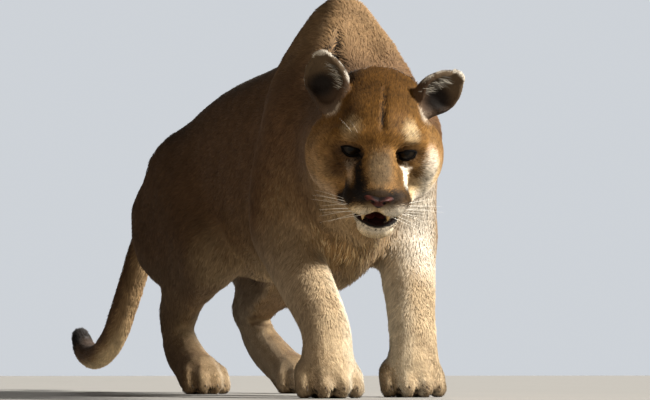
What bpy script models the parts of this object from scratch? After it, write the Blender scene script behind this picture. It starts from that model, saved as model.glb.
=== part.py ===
"""A life-size cougar standing low on all four feet, head turned to its right and held low.

The cat faces -Y, its left side is +X and +Z is up. Every soft form is a smooth tube or ellipsoid
given by a few stations (place and radii). The forms are fused, settled on one smooth surface and
parted by thin plane cuts into named pieces. Lengths are in metres; head forms are in millimetres.
"""

import math

import bmesh
import bpy
import numpy as np
from mathutils import Matrix, Vector

# Driving sizes
MM = 0.001
GAP = 0.0003  # clearance between neighbouring pieces
WITHERS_HEIGHT = 0.632  # top of the shoulder blades above the floor
CUT_REACH = 2.0  # size of the boxes that cut the body
CUT_SPARE = 0.012  # flesh left past a cut until the piece is cut to size
FAR = 1.0  # distance given to points well away from a form
NEAR_HEAD = 0.45  # forms of the body this near to the head or to a paw shape its surface
NEAR_PAW = 0.35

# Mesh fineness: voxel size and number of triangles kept
BODY_VOXEL = 0.008
HEAD_VOXEL = 0.0032
PAW_VOXEL = 0.0034
SMALL_VOXEL = 0.0022
BODY_TRIANGLES = 4700
HEAD_TRIANGLES = 3600
JAW_TRIANGLES = 400
PAW_TRIANGLES = 520
EAR_TRIANGLES = 230
NOSE_TRIANGLES = 220
TONGUE_TRIANGLES = 120
BODY_SWELL = 0.006  # extra thickness of the forms while they are fused
HEAD_SWELL = 0.001
PAW_SWELL = 0.0005

# Place and turn of the head: the frame's origin lies midway between the eyes
HEAD_PLACE = (-0.180, -0.3525, 0.333)
HEAD_YAW = math.radians(-22.7)
HEAD_PITCH = math.radians(31)
HEAD_ROLL = math.radians(4.5)

# Head, millimetres in its own frame: +X to its left, nose towards -Y
EYE_RADIUS = 14.5
EYE_X = 37
EYE_Y = 1
JAW_X = 3  # the lower jaw hangs a little to the left
LIP_RADIUS = 26

COLOURS = {
    "tawny": ((0.44, 0.25, 0.11), 0.85),
    "cream": ((0.72, 0.60, 0.45), 0.85),
    "nose": ((0.36, 0.13, 0.10), 0.45),
    "eye": ((0.30, 0.17, 0.05), 0.1),
    "tongue": ((0.50, 0.20, 0.18), 0.5),
    "tooth": ((0.85, 0.78, 0.62), 0.3),
}


def clear_scene():
    for thing in list(bpy.data.objects):
        bpy.data.objects.remove(thing, do_unlink=True)


def head_matrix():
    turn = (
        Matrix.Rotation(HEAD_YAW, 4, "Z")
        @ Matrix.Rotation(HEAD_PITCH, 4, "X")
        @ Matrix.Rotation(HEAD_ROLL, 4, "Y")
    )
    return Matrix.Translation(HEAD_PLACE) @ turn @ Matrix.Scale(MM, 4)


HEAD = head_matrix()


def spline(rows, steps):
    """Rows on a smooth curve through the given stations, each row a place with its radii."""
    rows = np.array(rows, float)
    if len(rows) < 2:
        return rows
    padded = np.vstack([2 * rows[0] - rows[1], rows, 2 * rows[-1] - rows[-2]])
    out = []
    for i in range(1, len(padded) - 2):
        a, b, c, d = padded[i - 1 : i + 3]
        for s in range(steps):
            t = s / steps
            out.append(
                b
                + 0.5 * t * (c - a)
                + t * t * (a - 2.5 * b + 2 * c - 0.5 * d)
                + t**3 * (1.5 * (b - c) + 0.5 * (d - a))
            )
    out.append(rows[-1])
    return np.array(out)


def unit(v):
    v = np.asarray(v, float)
    return v / np.maximum(np.linalg.norm(v, axis=-1, keepdims=True), 1e-12)


class Form:
    """A tube through stations, or one ellipsoid, with a smooth distance and a closed mesh."""

    def __init__(self, rows, blend, up=(0, 0, 1), along=None, axis=(0, 1, 0), steps=4,
                 matrix=None, hollow=False):
        rows = spline(rows, steps)
        centre = rows[:, :3]
        side, upper, lower = rows[:, 3], rows[:, 4], rows[:, 5]
        if len(rows) > 1:
            tangent = unit(np.gradient(centre, axis=0))
            ends = (upper[[0, -1]] + lower[[0, -1]] + 2 * side[[0, -1]]) / 4
        else:
            tangent = unit(np.array([axis], float))
            ends = np.array([along, along], float)
        level = unit(np.cross(tangent, np.array(up, float)))
        rise = unit(np.cross(level, tangent))
        if matrix is not None:
            spin = np.array(matrix.to_3x3(), float)
            size = abs(np.linalg.det(spin)) ** (1 / 3)
            spin = spin / size
            centre = centre @ (spin * size).T + np.array(matrix.translation)
            tangent, level, rise = tangent @ spin.T, level @ spin.T, rise @ spin.T
            side, upper, lower, ends = side * size, upper * size, lower * size, ends * size
            blend = blend * size
        self.centre, self.tangent, self.level, self.rise = centre, tangent, level, rise
        self.side, self.upper, self.lower, self.ends = side, upper, lower, ends
        self.blend, self.hollow = blend, hollow
        self.middle = centre.mean(0)
        spread = np.linalg.norm(centre - self.middle, axis=1).max()
        self.reach = spread + 1.6 * max(side.max(), upper.max(), lower.max(), ends.max()) + blend

    def distance(self, points):
        out = np.full(len(points), FAR)
        near = np.linalg.norm(points - self.middle, axis=1) < self.reach
        p = points[near]
        if not len(p):
            return out
        if len(self.centre) == 1:
            here = np.zeros(len(p), int)
            share = np.zeros(len(p))
            there = here
        else:
            a = self.centre[:-1]
            step = self.centre[1:] - a
            t = np.einsum("nmk,mk->nm", p[:, None] - a, step) / (step**2).sum(1)
            t = np.clip(t, 0, 1)
            away = p[:, None] - a - t[:, :, None] * step
            here = (away**2).sum(2).argmin(1)
            share = t[np.arange(len(p)), here]
            there = here + 1

        def at(values):
            w = share[:, None] if values.ndim == 2 else share
            return values[here] * (1 - w) + values[there] * w

        o = p - at(self.centre)
        rs = at(self.side)
        across = (o * at(self.level)).sum(1)
        height = (o * at(self.rise)).sum(1)
        rv = np.where(height > 0, at(self.upper), at(self.lower))
        run = (o * at(self.tangent)).sum(1)
        re = np.where(run < 0, self.ends[0], self.ends[1])
        u, v, w = across / rs, height / rv, run / re
        whole = np.sqrt(u * u + v * v + w * w)
        slope = np.sqrt((u / rs) ** 2 + (v / rv) ** 2 + (w / re) ** 2)
        out[near] = whole * (whole - 1) / np.maximum(slope, 1e-6)
        return out

    def add_to(self, bm, swell=0.0, around=16, cap_rings=3):
        """Adds the form to bm as a closed tube with rounded ends, made thicker by swell."""
        rings = []
        count = len(self.centre)
        turns = [math.pi / 2 * k / (cap_rings + 1) for k in range(1, cap_rings + 1)]
        starts, stops = self.ends + swell
        plan = [(0, -a, starts) for a in reversed(turns)]
        plan += [(i, 0.0, 0.0) for i in range(count)]
        plan += [(count - 1, a, stops) for a in turns]
        for i, turn, end in plan:
            centre = self.centre[i] + self.tangent[i] * end * math.sin(turn)
            ring = []
            for k in range(around):
                c, s = math.cos(2 * math.pi * k / around), math.sin(2 * math.pi * k / around)
                wide = self.side[i] + swell
                high = (self.upper[i] if s > 0 else self.lower[i]) + swell
                spot = centre + math.cos(turn) * (self.level[i] * wide * c + self.rise[i] * high * s)
                ring.append(bm.verts.new(spot))
            rings.append(ring)
        first = bm.verts.new(self.centre[0] - self.tangent[0] * starts)
        last = bm.verts.new(self.centre[-1] + self.tangent[-1] * stops)
        faces = []
        for one, two in zip(rings, rings[1:]):
            for k in range(around):
                j = (k + 1) % around
                faces.append(bm.faces.new((one[k], one[j], two[j], two[k])))
        for k in range(around):
            j = (k + 1) % around
            faces.append(bm.faces.new((first, rings[0][j], rings[0][k])))
            faces.append(bm.faces.new((last, rings[-1][k], rings[-1][j])))
        bmesh.ops.recalc_face_normals(bm, faces=faces)


def field(forms, points):
    """Smooth union of the forms, in order, less the hollow ones."""
    total = np.full(len(points), FAR)
    for form in forms:
        d = form.distance(points)
        k = max(form.blend, 1e-5)
        if form.hollow:
            h = np.maximum(k - np.abs(total + d), 0) / k
            total = np.maximum(total, -d) + h * h * k / 4
        else:
            h = np.maximum(k - np.abs(total - d), 0) / k
            total = np.minimum(total, d) - h * h * k / 4
    return total


def settle(mesh, forms, cuts=(), rounds=6, limit=0.006):
    """Moves the mesh's points on to the smooth surface, easing them along it in between.

    The points of flat cuts stay where they are.
    """
    count = len(mesh.vertices)
    co = np.empty(count * 3)
    mesh.vertices.foreach_get("co", co)
    co = co.reshape(-1, 3)
    ends = np.empty(len(mesh.edges) * 2, int)
    mesh.edges.foreach_get("vertices", ends)
    ends = ends.reshape(-1, 2)
    valence = np.bincount(ends.ravel(), minlength=count)[:, None]
    free = np.ones((count, 1))
    for point, normal in cuts:
        free[np.abs((co - np.array(point)) @ unit(normal) + CUT_SPARE) < GAP] = 0
    step = 0.0004
    for turn in range(rounds):
        value = field(forms, co)
        slope = np.stack(
            [field(forms, co + step * axis) - value for axis in np.eye(3)], 1
        ) / step
        size = np.maximum((slope**2).sum(1), 0.05)
        move = -(value / size)[:, None] * slope
        length = np.linalg.norm(move, axis=1, keepdims=True)
        co = co + free * move * np.minimum(1, limit / np.maximum(length, 1e-9))
        if turn < rounds - 2:
            mean = np.zeros_like(co)
            for k in range(3):
                mean[:, k] = np.bincount(ends[:, 0], co[ends[:, 1], k], count)
                mean[:, k] += np.bincount(ends[:, 1], co[ends[:, 0], k], count)
            co = co + 0.5 * free * (mean / valence - co)
    mesh.vertices.foreach_set("co", co.ravel())
    mesh.update()


def colour_material(name):
    if name in bpy.data.materials:
        return bpy.data.materials[name]
    rgb, rough = COLOURS[name]
    material = bpy.data.materials.new(name)
    material.use_nodes = True
    shader = material.node_tree.nodes["Principled BSDF"]
    shader.inputs["Base Color"].default_value = (*rgb, 1)
    shader.inputs["Roughness"].default_value = rough
    shader.inputs["Metallic"].default_value = 0
    return material


def new_object(name, mesh, colour):
    thing = bpy.data.objects.new(name, mesh)
    bpy.context.scene.collection.objects.link(thing)
    mesh.materials.clear()
    mesh.materials.append(colour_material(colour))
    return thing


def bake(thing):
    """Replaces the object's mesh by what its modifiers make of it."""
    graph = bpy.context.evaluated_depsgraph_get()
    made = bpy.data.meshes.new_from_object(thing.evaluated_get(graph))
    thing.modifiers.clear()
    thing.data = made
    return thing


def remesh(thing, voxel):
    modifier = thing.modifiers.new("fuse", "REMESH")
    modifier.mode = "VOXEL"
    modifier.voxel_size = voxel
    return bake(thing)


def thin_out(thing, triangles):
    """Reduces the mesh to about the given number of triangles."""
    mesh = thing.data
    count = sum(len(p.vertices) - 2 for p in mesh.polygons)
    modifier = thing.modifiers.new("thin", "DECIMATE")
    modifier.ratio = min(1.0, triangles / count)
    return bake(thing)


def fused(name, forms, voxel, triangles, colour, shown=None, swell=0.0, keep=()):
    """One closed smooth mesh of the solid forms in shown, settled on the surface of all forms.

    Of it only what lies well past the planes in keep stays, before the mesh is thinned out.
    """
    bm = bmesh.new()
    for form in shown or forms:
        if not form.hollow:
            form.add_to(bm, swell)
    mesh = bpy.data.meshes.new(name)
    bm.to_mesh(mesh)
    bm.free()
    thing = remesh(new_object(name, mesh, colour), voxel)
    for point, normal in keep:
        keep_side(thing, point, normal, -CUT_SPARE)
    settle(thing.data, forms, keep)
    thin_out(thing, triangles)
    thing.data.materials.clear()
    thing.data.materials.append(colour_material(colour))
    return thing


def largest_surface(thing):
    """Keeps only the largest closed surface of the mesh."""
    bm = bmesh.new()
    bm.from_mesh(thing.data)
    bmesh.ops.remove_doubles(bm, verts=bm.verts, dist=1e-6)
    left = set(bm.verts)
    groups = []
    while left:
        stack = [left.pop()]
        group = set(stack)
        while stack:
            for edge in stack.pop().link_edges:
                for v in edge.verts:
                    if v in left:
                        left.discard(v)
                        group.add(v)
                        stack.append(v)
        groups.append(group)
    groups.sort(key=len)
    for group in groups[:-1]:
        bmesh.ops.delete(bm, geom=list(group), context="VERTS")
    bmesh.ops.triangulate(bm, faces=bm.faces)
    bm.to_mesh(thing.data)
    bm.free()
    return thing


def combine(thing, other, operation):
    """Boolean of the object with another one, which is left as it is."""
    modifier = thing.modifiers.new("cut", "BOOLEAN")
    modifier.operation = operation
    modifier.object = other
    modifier.solver = "EXACT"
    bake(thing)
    return largest_surface(thing)


def box(name, matrix, size):
    bm = bmesh.new()
    bmesh.ops.create_cube(bm, size=1.0)
    bmesh.ops.scale(bm, vec=size, verts=bm.verts)
    bm.transform(matrix)
    mesh = bpy.data.meshes.new(name)
    bm.to_mesh(mesh)
    bm.free()
    thing = bpy.data.objects.new(name, mesh)
    bpy.context.scene.collection.objects.link(thing)
    return thing


def drop(thing):
    bpy.data.objects.remove(thing, do_unlink=True)


def half_space(point, normal, margin):
    """A large box that fills the side of the plane that normal points to, less margin."""
    normal = Vector(normal).normalized()
    turn = normal.to_track_quat("Z", "Y").to_matrix().to_4x4()
    middle = Vector(point) + normal * (CUT_REACH / 2 + margin)
    return box("cutter", Matrix.Translation(middle) @ turn, (CUT_REACH,) * 3)


def region(planes, margin):
    """The convex space on the inner side of all the planes, as a closed cutter."""
    bm = bmesh.new()
    bmesh.ops.create_cube(bm, size=2 * CUT_REACH)
    for point, normal in planes:
        normal = Vector(normal).normalized()
        spot = Vector(point) + normal * margin
        geom = bm.verts[:] + bm.edges[:] + bm.faces[:]
        cut = bmesh.ops.bisect_plane(
            bm, geom=geom, dist=1e-7, plane_co=spot, plane_no=normal, clear_inner=True
        )
        edges = [e for e in cut["geom_cut"] if isinstance(e, bmesh.types.BMEdge)]
        bmesh.ops.contextual_create(bm, geom=edges)
    bmesh.ops.recalc_face_normals(bm, faces=bm.faces)
    mesh = bpy.data.meshes.new("cutter")
    bm.to_mesh(mesh)
    bm.free()
    thing = bpy.data.objects.new("cutter", mesh)
    bpy.context.scene.collection.objects.link(thing)
    return thing


def copy_of(thing, name):
    twin = thing.copy()
    twin.data = thing.data.copy()
    twin.name = name
    bpy.context.scene.collection.objects.link(twin)
    return twin


def part_off(body, name, planes):
    """Takes the piece inside the planes off the body, leaving a thin gap, and returns it."""
    inner = region(planes, GAP / 2)
    outer = region(planes, -GAP / 2)
    piece = combine(copy_of(body, name), inner, "INTERSECT")
    combine(body, outer, "DIFFERENCE")
    drop(inner)
    drop(outer)
    return piece


def keep_side(thing, point, normal, margin=GAP / 2):
    cutter = half_space(point, normal, margin)
    combine(thing, cutter, "INTERSECT")
    drop(cutter)
    return thing


def ball(centre, radii, blend, **more):
    """An ellipsoid with radii across, along and upward."""
    across, along, upward = radii
    return Form([(*centre, across, upward, upward)], blend, along=along, **more)


def limb(rows, blend, **more):
    """A tube with stations (x, y, z, radius across, radius the other way)."""
    return Form([(x, y, z, a, b, b) for x, y, z, a, b in rows], blend, **more)


def trunk_forms():
    return [
        Form(
            [
                (-0.042, -0.020, 0.338, 0.052, 0.071, 0.095),
                (-0.032, 0.055, 0.352, 0.080, 0.109, 0.168),
                (-0.010, 0.165, 0.372, 0.100, 0.154, 0.202),
                (0.000, 0.300, 0.378, 0.108, 0.175, 0.188),
                (0.000, 0.455, 0.384, 0.108, 0.175, 0.186),
                (0.000, 0.600, 0.396, 0.098, 0.152, 0.164),
                (0.000, 0.735, 0.394, 0.090, 0.120, 0.125),
                (0.000, 0.835, 0.370, 0.078, 0.084, 0.095),
                (0.000, 0.893, 0.356, 0.056, 0.058, 0.070),
            ],
            0.03,
        ),
        # neck, held low, from the shoulders to the back of the skull
        Form(
            [
                (-0.020, 0.145, 0.404, 0.092, 0.122, 0.140),
                (-0.057, 0.000, 0.379, 0.084, 0.105, 0.119),
                (-0.100, -0.125, 0.362, 0.077, 0.085, 0.092),
                (-0.130, -0.222, 0.355, 0.073, 0.072, 0.076),
            ],
            0.06,
        ),
        # muscle between the shoulder blades
        Form(
            [
                (0.002, 0.300, 0.505, 0.044, 0.038, 0.055),
                (-0.004, 0.175, 0.538, 0.048, 0.041, 0.056),
                (-0.022, 0.080, 0.470, 0.048, 0.038, 0.057),
            ],
            0.06,
        ),
    ]


def foreleg_forms(shoulder, blade_top, elbow, wrist, toe):
    """Shoulder blade, shoulder, upper arm, triceps and forearm of one foreleg."""
    jx, jy, jz = shoulder
    cx, cy, cz = blade_top
    ex, ey, ez = elbow
    wx, wy, wz = wrist
    return [
        limb(
            [
                (jx, jy, jz + 0.03, 0.040, 0.060),
                ((jx + cx) / 2, (jy + cy) / 2 + 0.01, (jz + cz) / 2, 0.036, 0.078),
                (cx, cy + 0.01, cz - 0.040, 0.028, 0.062),
            ],
            0.05,
            up=(0, 1, 0),
        ),
        limb(
            [
                (jx, jy - 0.01, jz, 0.049, 0.058),
                ((jx + ex) / 2, (jy + ey) / 2, (jz + ez) / 2, 0.049, 0.062),
                (ex, ey, ez, 0.043, 0.050),
            ],
            0.045,
            up=(0, 1, 0),
        ),
        limb(
            [
                ((jx + cx) / 2, jy + 0.06, jz + 0.07, 0.033, 0.045),
                (ex, ey + 0.03, ez + 0.06, 0.034, 0.044),
            ],
            0.05,
            up=(0, 1, 0),
        ),
        limb(
            [
                (ex, ey, ez - 0.005, 0.046, 0.053),
                (ex * 0.6 + wx * 0.4, ey * 0.58 + wy * 0.42, ez * 0.58 + wz * 0.42, 0.042, 0.047),
                (wx, wy, wz + 0.02, 0.036, 0.038),
                ((wx + toe[0]) / 2, (wy + toe[1]) / 2 + 0.005, wz - 0.04, 0.039, 0.036),
            ],
            0.03,
            up=(0, 1, 0),
        ),
    ]


def hind_leg_forms(hip, knee, hock, toe):
    """Thigh, ham, shin and long foot bone of one hind leg."""
    hx, hy, hz = hip
    kx, ky, kz = knee
    ax, ay, az = hock
    return [
        limb(
            [
                (hx, hy, hz, 0.052, 0.096),
                ((hx + kx) / 2, (hy + ky) / 2, (hz + kz) / 2 + 0.01, 0.054, 0.090),
                (kx, ky + 0.012, kz + 0.005, 0.042, 0.052),
            ],
            0.05,
        ),
        limb(
            [
                (hx * 0.9, hy + 0.105, hz - 0.03, 0.048, 0.056),
                ((hx + ax) / 2, (hy + ay) / 2 + 0.070, (hz + az) / 2 + 0.03, 0.044, 0.064),
                (ax, (ky + ay) / 2 + 0.050, (kz + az) / 2 + 0.030, 0.033, 0.046),
            ],
            0.05,
            up=(0, 1, 0),
        ),
        limb(
            [
                (kx, ky + 0.01, kz, 0.042, 0.054),
                ((kx + ax) / 2, (ky + ay) / 2, (kz + az) / 2, 0.040, 0.057),
                (ax, ay - 0.012, az + 0.018, 0.028, 0.036),
            ],
            0.035,
            up=(0, 1, 0),
        ),
        limb(
            [
                (ax, ay + 0.004, az + 0.014, 0.024, 0.028),
                ((ax + toe[0]) / 2, ay * 0.60 + (toe[1] + 0.085) * 0.40, az * 0.62, 0.031, 0.038),
                (toe[0], toe[1] + 0.072, 0.038, 0.034, 0.034),
            ],
            0.02,
            up=(0, 1, 0),
        ),
    ]


def paw_forms(toe, heading, width, length):
    """A paw on the floor. toe is the tip of the middle toes; heading turns it about Z."""
    turn = Matrix.Rotation(heading, 4, "Z")
    place = Matrix.Translation((toe[0], toe[1], 0)) @ turn
    half = width / 2
    forms = [
        ball((0, length * 0.60, 0.030), (half * 0.84, length * 0.44, 0.034), 0.02, matrix=place)
    ]
    for spread, back in ((-0.74, 0.17), (-0.27, 0.0), (0.27, 0.0), (0.74, 0.17)):
        tip = back * length
        forms.append(
            limb(
                [
                    (spread * half * 0.82, tip + length * 0.50, 0.038, 0.0150, 0.0170),
                    (spread * half * 0.95, tip + length * 0.28, 0.032, 0.0155, 0.0180),
                    (spread * half, tip + length * 0.15, 0.014, 0.0145, 0.0160),
                ],
                0.007,
                matrix=place,
            )
        )
    return forms


def tail_forms():
    return [
        limb(TAIL, 0.03, up=(1, 0, 0), steps=3),
    ]


# Joints of the legs and stations of the tail, in metres
FORE = {
    "right": {
        "shoulder": (-0.093, 0.105, 0.406),
        "blade_top": (-0.023, 0.158, WITHERS_HEIGHT),
        "elbow": (-0.109, 0.138, 0.263),
        "wrist": (-0.118, -0.038, 0.090),
        "toe": (-0.139, -0.124),
    },
    "left": {
        "shoulder": (0.083, 0.096, 0.404),
        "blade_top": (0.026, 0.160, WITHERS_HEIGHT - 0.006),
        "elbow": (0.105, 0.140, 0.261),
        "wrist": (0.057, 0.020, 0.089),
        "toe": (0.026, -0.062),
    },
}
FORE_HEADING = {"right": math.radians(-12), "left": math.radians(-14)}
HIND = {
    "right": {
        "hip": (-0.070, 0.758, 0.376),
        "knee": (-0.100, 0.480, 0.236),
        "hock": (-0.095, 0.675, 0.128),
        "toe": (-0.097, 0.478),
    },
    "left": {
        "hip": (0.068, 0.745, 0.379),
        "knee": (0.096, 0.512, 0.222),
        "hock": (0.074, 0.742, 0.145),
        "toe": (0.090, 0.505),
    },
}
HIND_HEADING = {"right": math.radians(-4), "left": math.radians(-8)}
FORE_PAW = (0.100, 0.108)
HIND_PAW = (0.080, 0.104)
TAIL = (
    (0.000, 0.850, 0.410, 0.042, 0.042),
    (-0.006, 0.955, 0.381, 0.034, 0.036),
    (-0.022, 1.045, 0.301, 0.030, 0.030),
    (-0.036, 1.108, 0.200, 0.028, 0.028),
    (-0.044, 1.175, 0.112, 0.027, 0.027),
    (-0.045, 1.278, 0.071, 0.027, 0.027),
    (-0.039, 1.380, 0.081, 0.026, 0.026),
    (-0.028, 1.460, 0.116, 0.021, 0.021),
)


def head_ball(centre, radii, blend, **more):
    return ball(centre, radii, blend, matrix=HEAD, **more)


def head_tube(rows, blend, **more):
    return Form(rows, blend, matrix=HEAD, **more)


def skull_forms():
    """Forms of the head above the mouth, in the head's frame, nose towards -Y."""
    forms = [
        head_ball((0, 54, 14), (62, 64, 54), 18),
        head_ball((0, 12, 16), (50, 36, 34), 22),
        head_ball((0, 94, 32), (59, 45, 48), 24),
        # bridge of the nose
        head_tube(
            [
                (0, 4, 10, 25, 22, 24),
                (0, -28, -4, 22, 17, 26),
                (0, -54, -19, 21, 14, 24),
                (0, -67, -27, 20, 10, 16),
            ],
            12,
        ),
        head_ball((0, -26, -38), (42, 44, 32), 18),
        head_ball((0, 22, -62), (44, 48, 34), 20),
    ]
    for s in (1, -1):
        forms += [
            head_ball((s * 56, 24, -16), (30, 40, 32), 20),
            head_ball((s * 48, 40, -50), (36, 42, 38), 20),
            head_ball((s * 64, 56, -30), (30, 30, 46), 20),
            # whisker pad, and the lip that runs back from it over the corner of the mouth
            head_ball((s * 20, -55, -46), (24, 29, 22), 9),
            head_tube(
                [(s * 33, -46, -58, 10, 9, 9), (s * 37, -22, -64, 13, 14, 14), (s * 40, 8, -64, 16, 18, 20)],
                10,
            ),
            # brow
            head_tube(
                [(s * 12, -13, 24, 9, 8, 9), (s * 33, -12, 22, 9, 7, 8), (s * 54, 4, 15, 9, 8, 9)],
                12,
            ),
        ]
    for s in (1, -1):
        forms += [
            # hollow round the eye, then its two lids
            head_ball((s * (EYE_X + 1), -16, -1), (20, 12, 13), 9, hollow=True),
            lid(s, 9),
            lid(s, -9),
        ]
    return forms


def lid(side, rise):
    """One eyelid: an arc over the eyeball from its inner to its outer corner."""
    rows = []
    for k in range(5):
        across = math.radians(-56 + 28 * k)
        up = rise * math.cos(across) + 2.5 * math.sin(across) - 1.0
        depth = (EYE_RADIUS + 0.6) * math.cos(across) * math.cos(math.asin(up / EYE_RADIUS))
        spot = (side * (EYE_X + EYE_RADIUS * math.sin(across)), EYE_Y - depth, up)
        rows.append((*spot, 3.4, 3.4, 3.4))
    return head_tube(rows, 4, steps=2)


def jaw_forms():
    """The lower jaw, open by about a finger's width, with its lip."""
    middle = JAW_X
    forms = [
        head_ball((middle, -50, -91), (22, 19, 13), 8),
        head_tube([(middle, -40, -91, 23, 9, 15), (0, 12, -86, 33, 18, 22)], 12),
    ]
    # lower lip, round the front of the chin from corner to corner
    rows = []
    for k in range(7):
        turn = math.radians(-90 + 30 * k)
        rows.append(
            (
                middle + LIP_RADIUS * math.sin(turn),
                -44 - LIP_RADIUS * math.cos(turn),
                -82 + 5 * abs(math.sin(turn)),
                5,
                5,
                5,
            )
        )
    forms.append(head_tube(rows, 5, steps=2))
    return forms


def ear_matrix(side, place, lean, turn, tip):
    """Frame of an ear: Z up its length, -Y out of its cup. The angles are in degrees."""
    return (
        HEAD
        @ Matrix.Translation((side * place[0], place[1], place[2]))
        @ Matrix.Rotation(math.radians(side * lean), 4, "Y")
        @ Matrix.Rotation(math.radians(side * turn), 4, "Z")
        @ Matrix.Rotation(math.radians(tip), 4, "X")
    )


EARS = {
    "right": {"side": -1, "place": (68, 66, 46), "lean": 18, "turn": 20, "tip": -4},
    "left": {"side": 1, "place": (64, 68, 44), "lean": 47, "turn": 16, "tip": -4},
}
EAR_WIDTH = 32  # half width, millimetres
EAR_HEIGHT = 60


def ear_forms(matrix):
    """The outside of an ear, wide at its root, and the hollow of its cup."""
    tall = EAR_HEIGHT
    shell = Form(
        [
            (0, 2, -14, EAR_WIDTH * 0.66, 17, 17),
            (0, 0, tall * 0.24, EAR_WIDTH, 15, 15),
            (0, 1, tall * 0.56, EAR_WIDTH * 0.93, 11, 11),
            (0, 2, tall * 0.80, EAR_WIDTH * 0.66, 7, 7),
            (0, 2, tall * 0.88, EAR_WIDTH * 0.46, 5, 5),
        ],
        2,
        up=(0, 1, 0),
        matrix=matrix,
    )
    cup = Form(
        [
            (0, -14, 6, EAR_WIDTH * 0.55, 15, 15),
            (0, -13, tall * 0.30, EAR_WIDTH * 0.86, 19, 19),
            (0, -10, tall * 0.56, EAR_WIDTH * 0.80, 14, 14),
            (0, -8, tall * 0.78, EAR_WIDTH * 0.48, 10, 10),
        ],
        2,
        up=(0, 1, 0),
        matrix=matrix,
    )
    return shell, cup


def nose_forms():
    forms = [
        head_tube([(0, -75, -29, 20, 7, 8), (0, -80, -35, 20, 8, 11), (0, -79, -43, 8, 7, 8)], 4),
    ]
    for s in (1, -1):
        forms.append(head_ball((s * 11, -90, -34), (5, 7, 4), 2, hollow=True))
        forms.append(head_ball((s * 17, -84, -36), (4, 6, 2.5), 2, hollow=True))
    return forms


def swollen(thing, amount):
    """A copy of the object with every point moved out along its normal."""
    twin = copy_of(thing, "cutter")
    mesh = twin.data
    for v in mesh.vertices:
        v.co = v.co + v.normal * amount
    return twin


def clear_of(thing, *others):
    """Cuts the object clear of the others by the usual gap."""
    for other in others:
        cutter = swollen(other, GAP)
        combine(thing, cutter, "DIFFERENCE")
        drop(cutter)
    return thing


def eyeball(name, side, radius):
    bm = bmesh.new()
    bmesh.ops.create_uvsphere(bm, u_segments=16, v_segments=10, radius=radius)
    bm.transform(HEAD @ Matrix.Translation((side * EYE_X, EYE_Y, 0)))
    bmesh.ops.triangulate(bm, faces=bm.faces)
    mesh = bpy.data.meshes.new(name)
    bm.to_mesh(mesh)
    bm.free()
    return new_object(name, mesh, "eye")


def canine(name, side):
    """One upper canine, of which only the tip shows under the lip."""
    rows = [
        (side * 16 + 2, -60, -60, 5, 5, 5),
        (side * 16 + 2, -63, -68, 3.6, 3.6, 3.6),
        (side * 15 + 2, -63, -75, 1.2, 1.2, 1.2),
    ]
    bm = bmesh.new()
    head_tube(rows, 1, steps=2).add_to(bm, around=8, cap_rings=1)
    mesh = bpy.data.meshes.new(name)
    bm.to_mesh(mesh)
    bm.free()
    return new_object(name, mesh, "tooth")


def head_point(x, y, z):
    return HEAD @ Vector((x, y, z))


def head_direction(x, y, z):
    return (HEAD.to_3x3() @ Vector((x, y, z))).normalized()


def near_to(forms, place, reach):
    return [f for f in forms if np.linalg.norm(f.middle - np.array(place)) < reach]


def make_head(flesh):
    """Head with its jaw, ears, eyes, nose, tongue and teeth, and the plane that parts it off."""
    neck = (head_point(0, 104, 0), head_direction(0, -1, -0.10))
    skull = skull_forms()
    near = near_to(flesh, head_point(0, 0, 0), NEAR_HEAD)
    shown = skull + [flesh[1]]
    head = fused(
        "head", near + skull, HEAD_VOXEL, HEAD_TRIANGLES, "tawny", shown, HEAD_SWELL, keep=[neck]
    )
    keep_side(head, *neck)
    jaw = fused("jaw", jaw_forms(), HEAD_VOXEL, JAW_TRIANGLES, "cream")
    nose = fused("nose", nose_forms(), SMALL_VOXEL, NOSE_TRIANGLES, "nose")
    clear_of(jaw, head)
    clear_of(nose, head)
    tongue_form = head_tube([(0, -20, -74, 17, 6, 6), (0, -46, -78, 16, 4, 5)], 2)
    tongue = fused("tongue", [tongue_form], SMALL_VOXEL, TONGUE_TRIANGLES, "tongue")
    clear_of(tongue, head, jaw)
    for label, side in (("right", -1), ("left", 1)):
        clear_of(canine("tooth_" + label, side), head, jaw)
        shell, cup = ear_forms(ear_matrix(**EARS[label]))
        ear = fused("ear_" + label, [shell], SMALL_VOXEL, EAR_TRIANGLES, "tawny")
        hollow = fused("cutter", [cup], SMALL_VOXEL, EAR_TRIANGLES, "tawny")
        combine(ear, hollow, "DIFFERENCE")
        drop(hollow)
        clear_of(ear, head)
        keep_side(ear, *neck)
    for label, side in (("right", -1), ("left", 1)):
        socket = eyeball("cutter", side, EYE_RADIUS + GAP / MM)
        combine(head, socket, "DIFFERENCE")
        drop(socket)
        eyeball("eye_" + label, side, EYE_RADIUS)
    return neck


def wrist_cut(pose):
    """The plane between forearm and forepaw, with its normal towards the paw."""
    wrist, elbow = Vector(pose["wrist"]), Vector(pose["elbow"])
    down = (wrist - elbow).normalized() + Vector((0, 0, -1))
    return wrist + Vector((0, 0, -0.004)), down.normalized()


def ankle_cut(pose):
    """The plane between shank and hind paw, a little below the hock."""
    hock = Vector(pose["hock"])
    return hock + Vector((0, -0.006, -0.035)), Vector((0, -0.45, -1)).normalized()


def make_paw(name, flesh, shank, paws, cut):
    """One paw in fine mesh, cut flat where it stands and where it meets the leg."""
    near = near_to(flesh, paws[0].middle, NEAR_PAW)
    floor = ((0, 0, 0), (0, 0, 1))
    paw = fused(
        name, near + paws, PAW_VOXEL, PAW_TRIANGLES, "tawny", [shank] + paws, PAW_SWELL, keep=[cut]
    )
    keep_side(paw, *cut)
    keep_side(paw, *floor, 0)
    return paw


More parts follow.
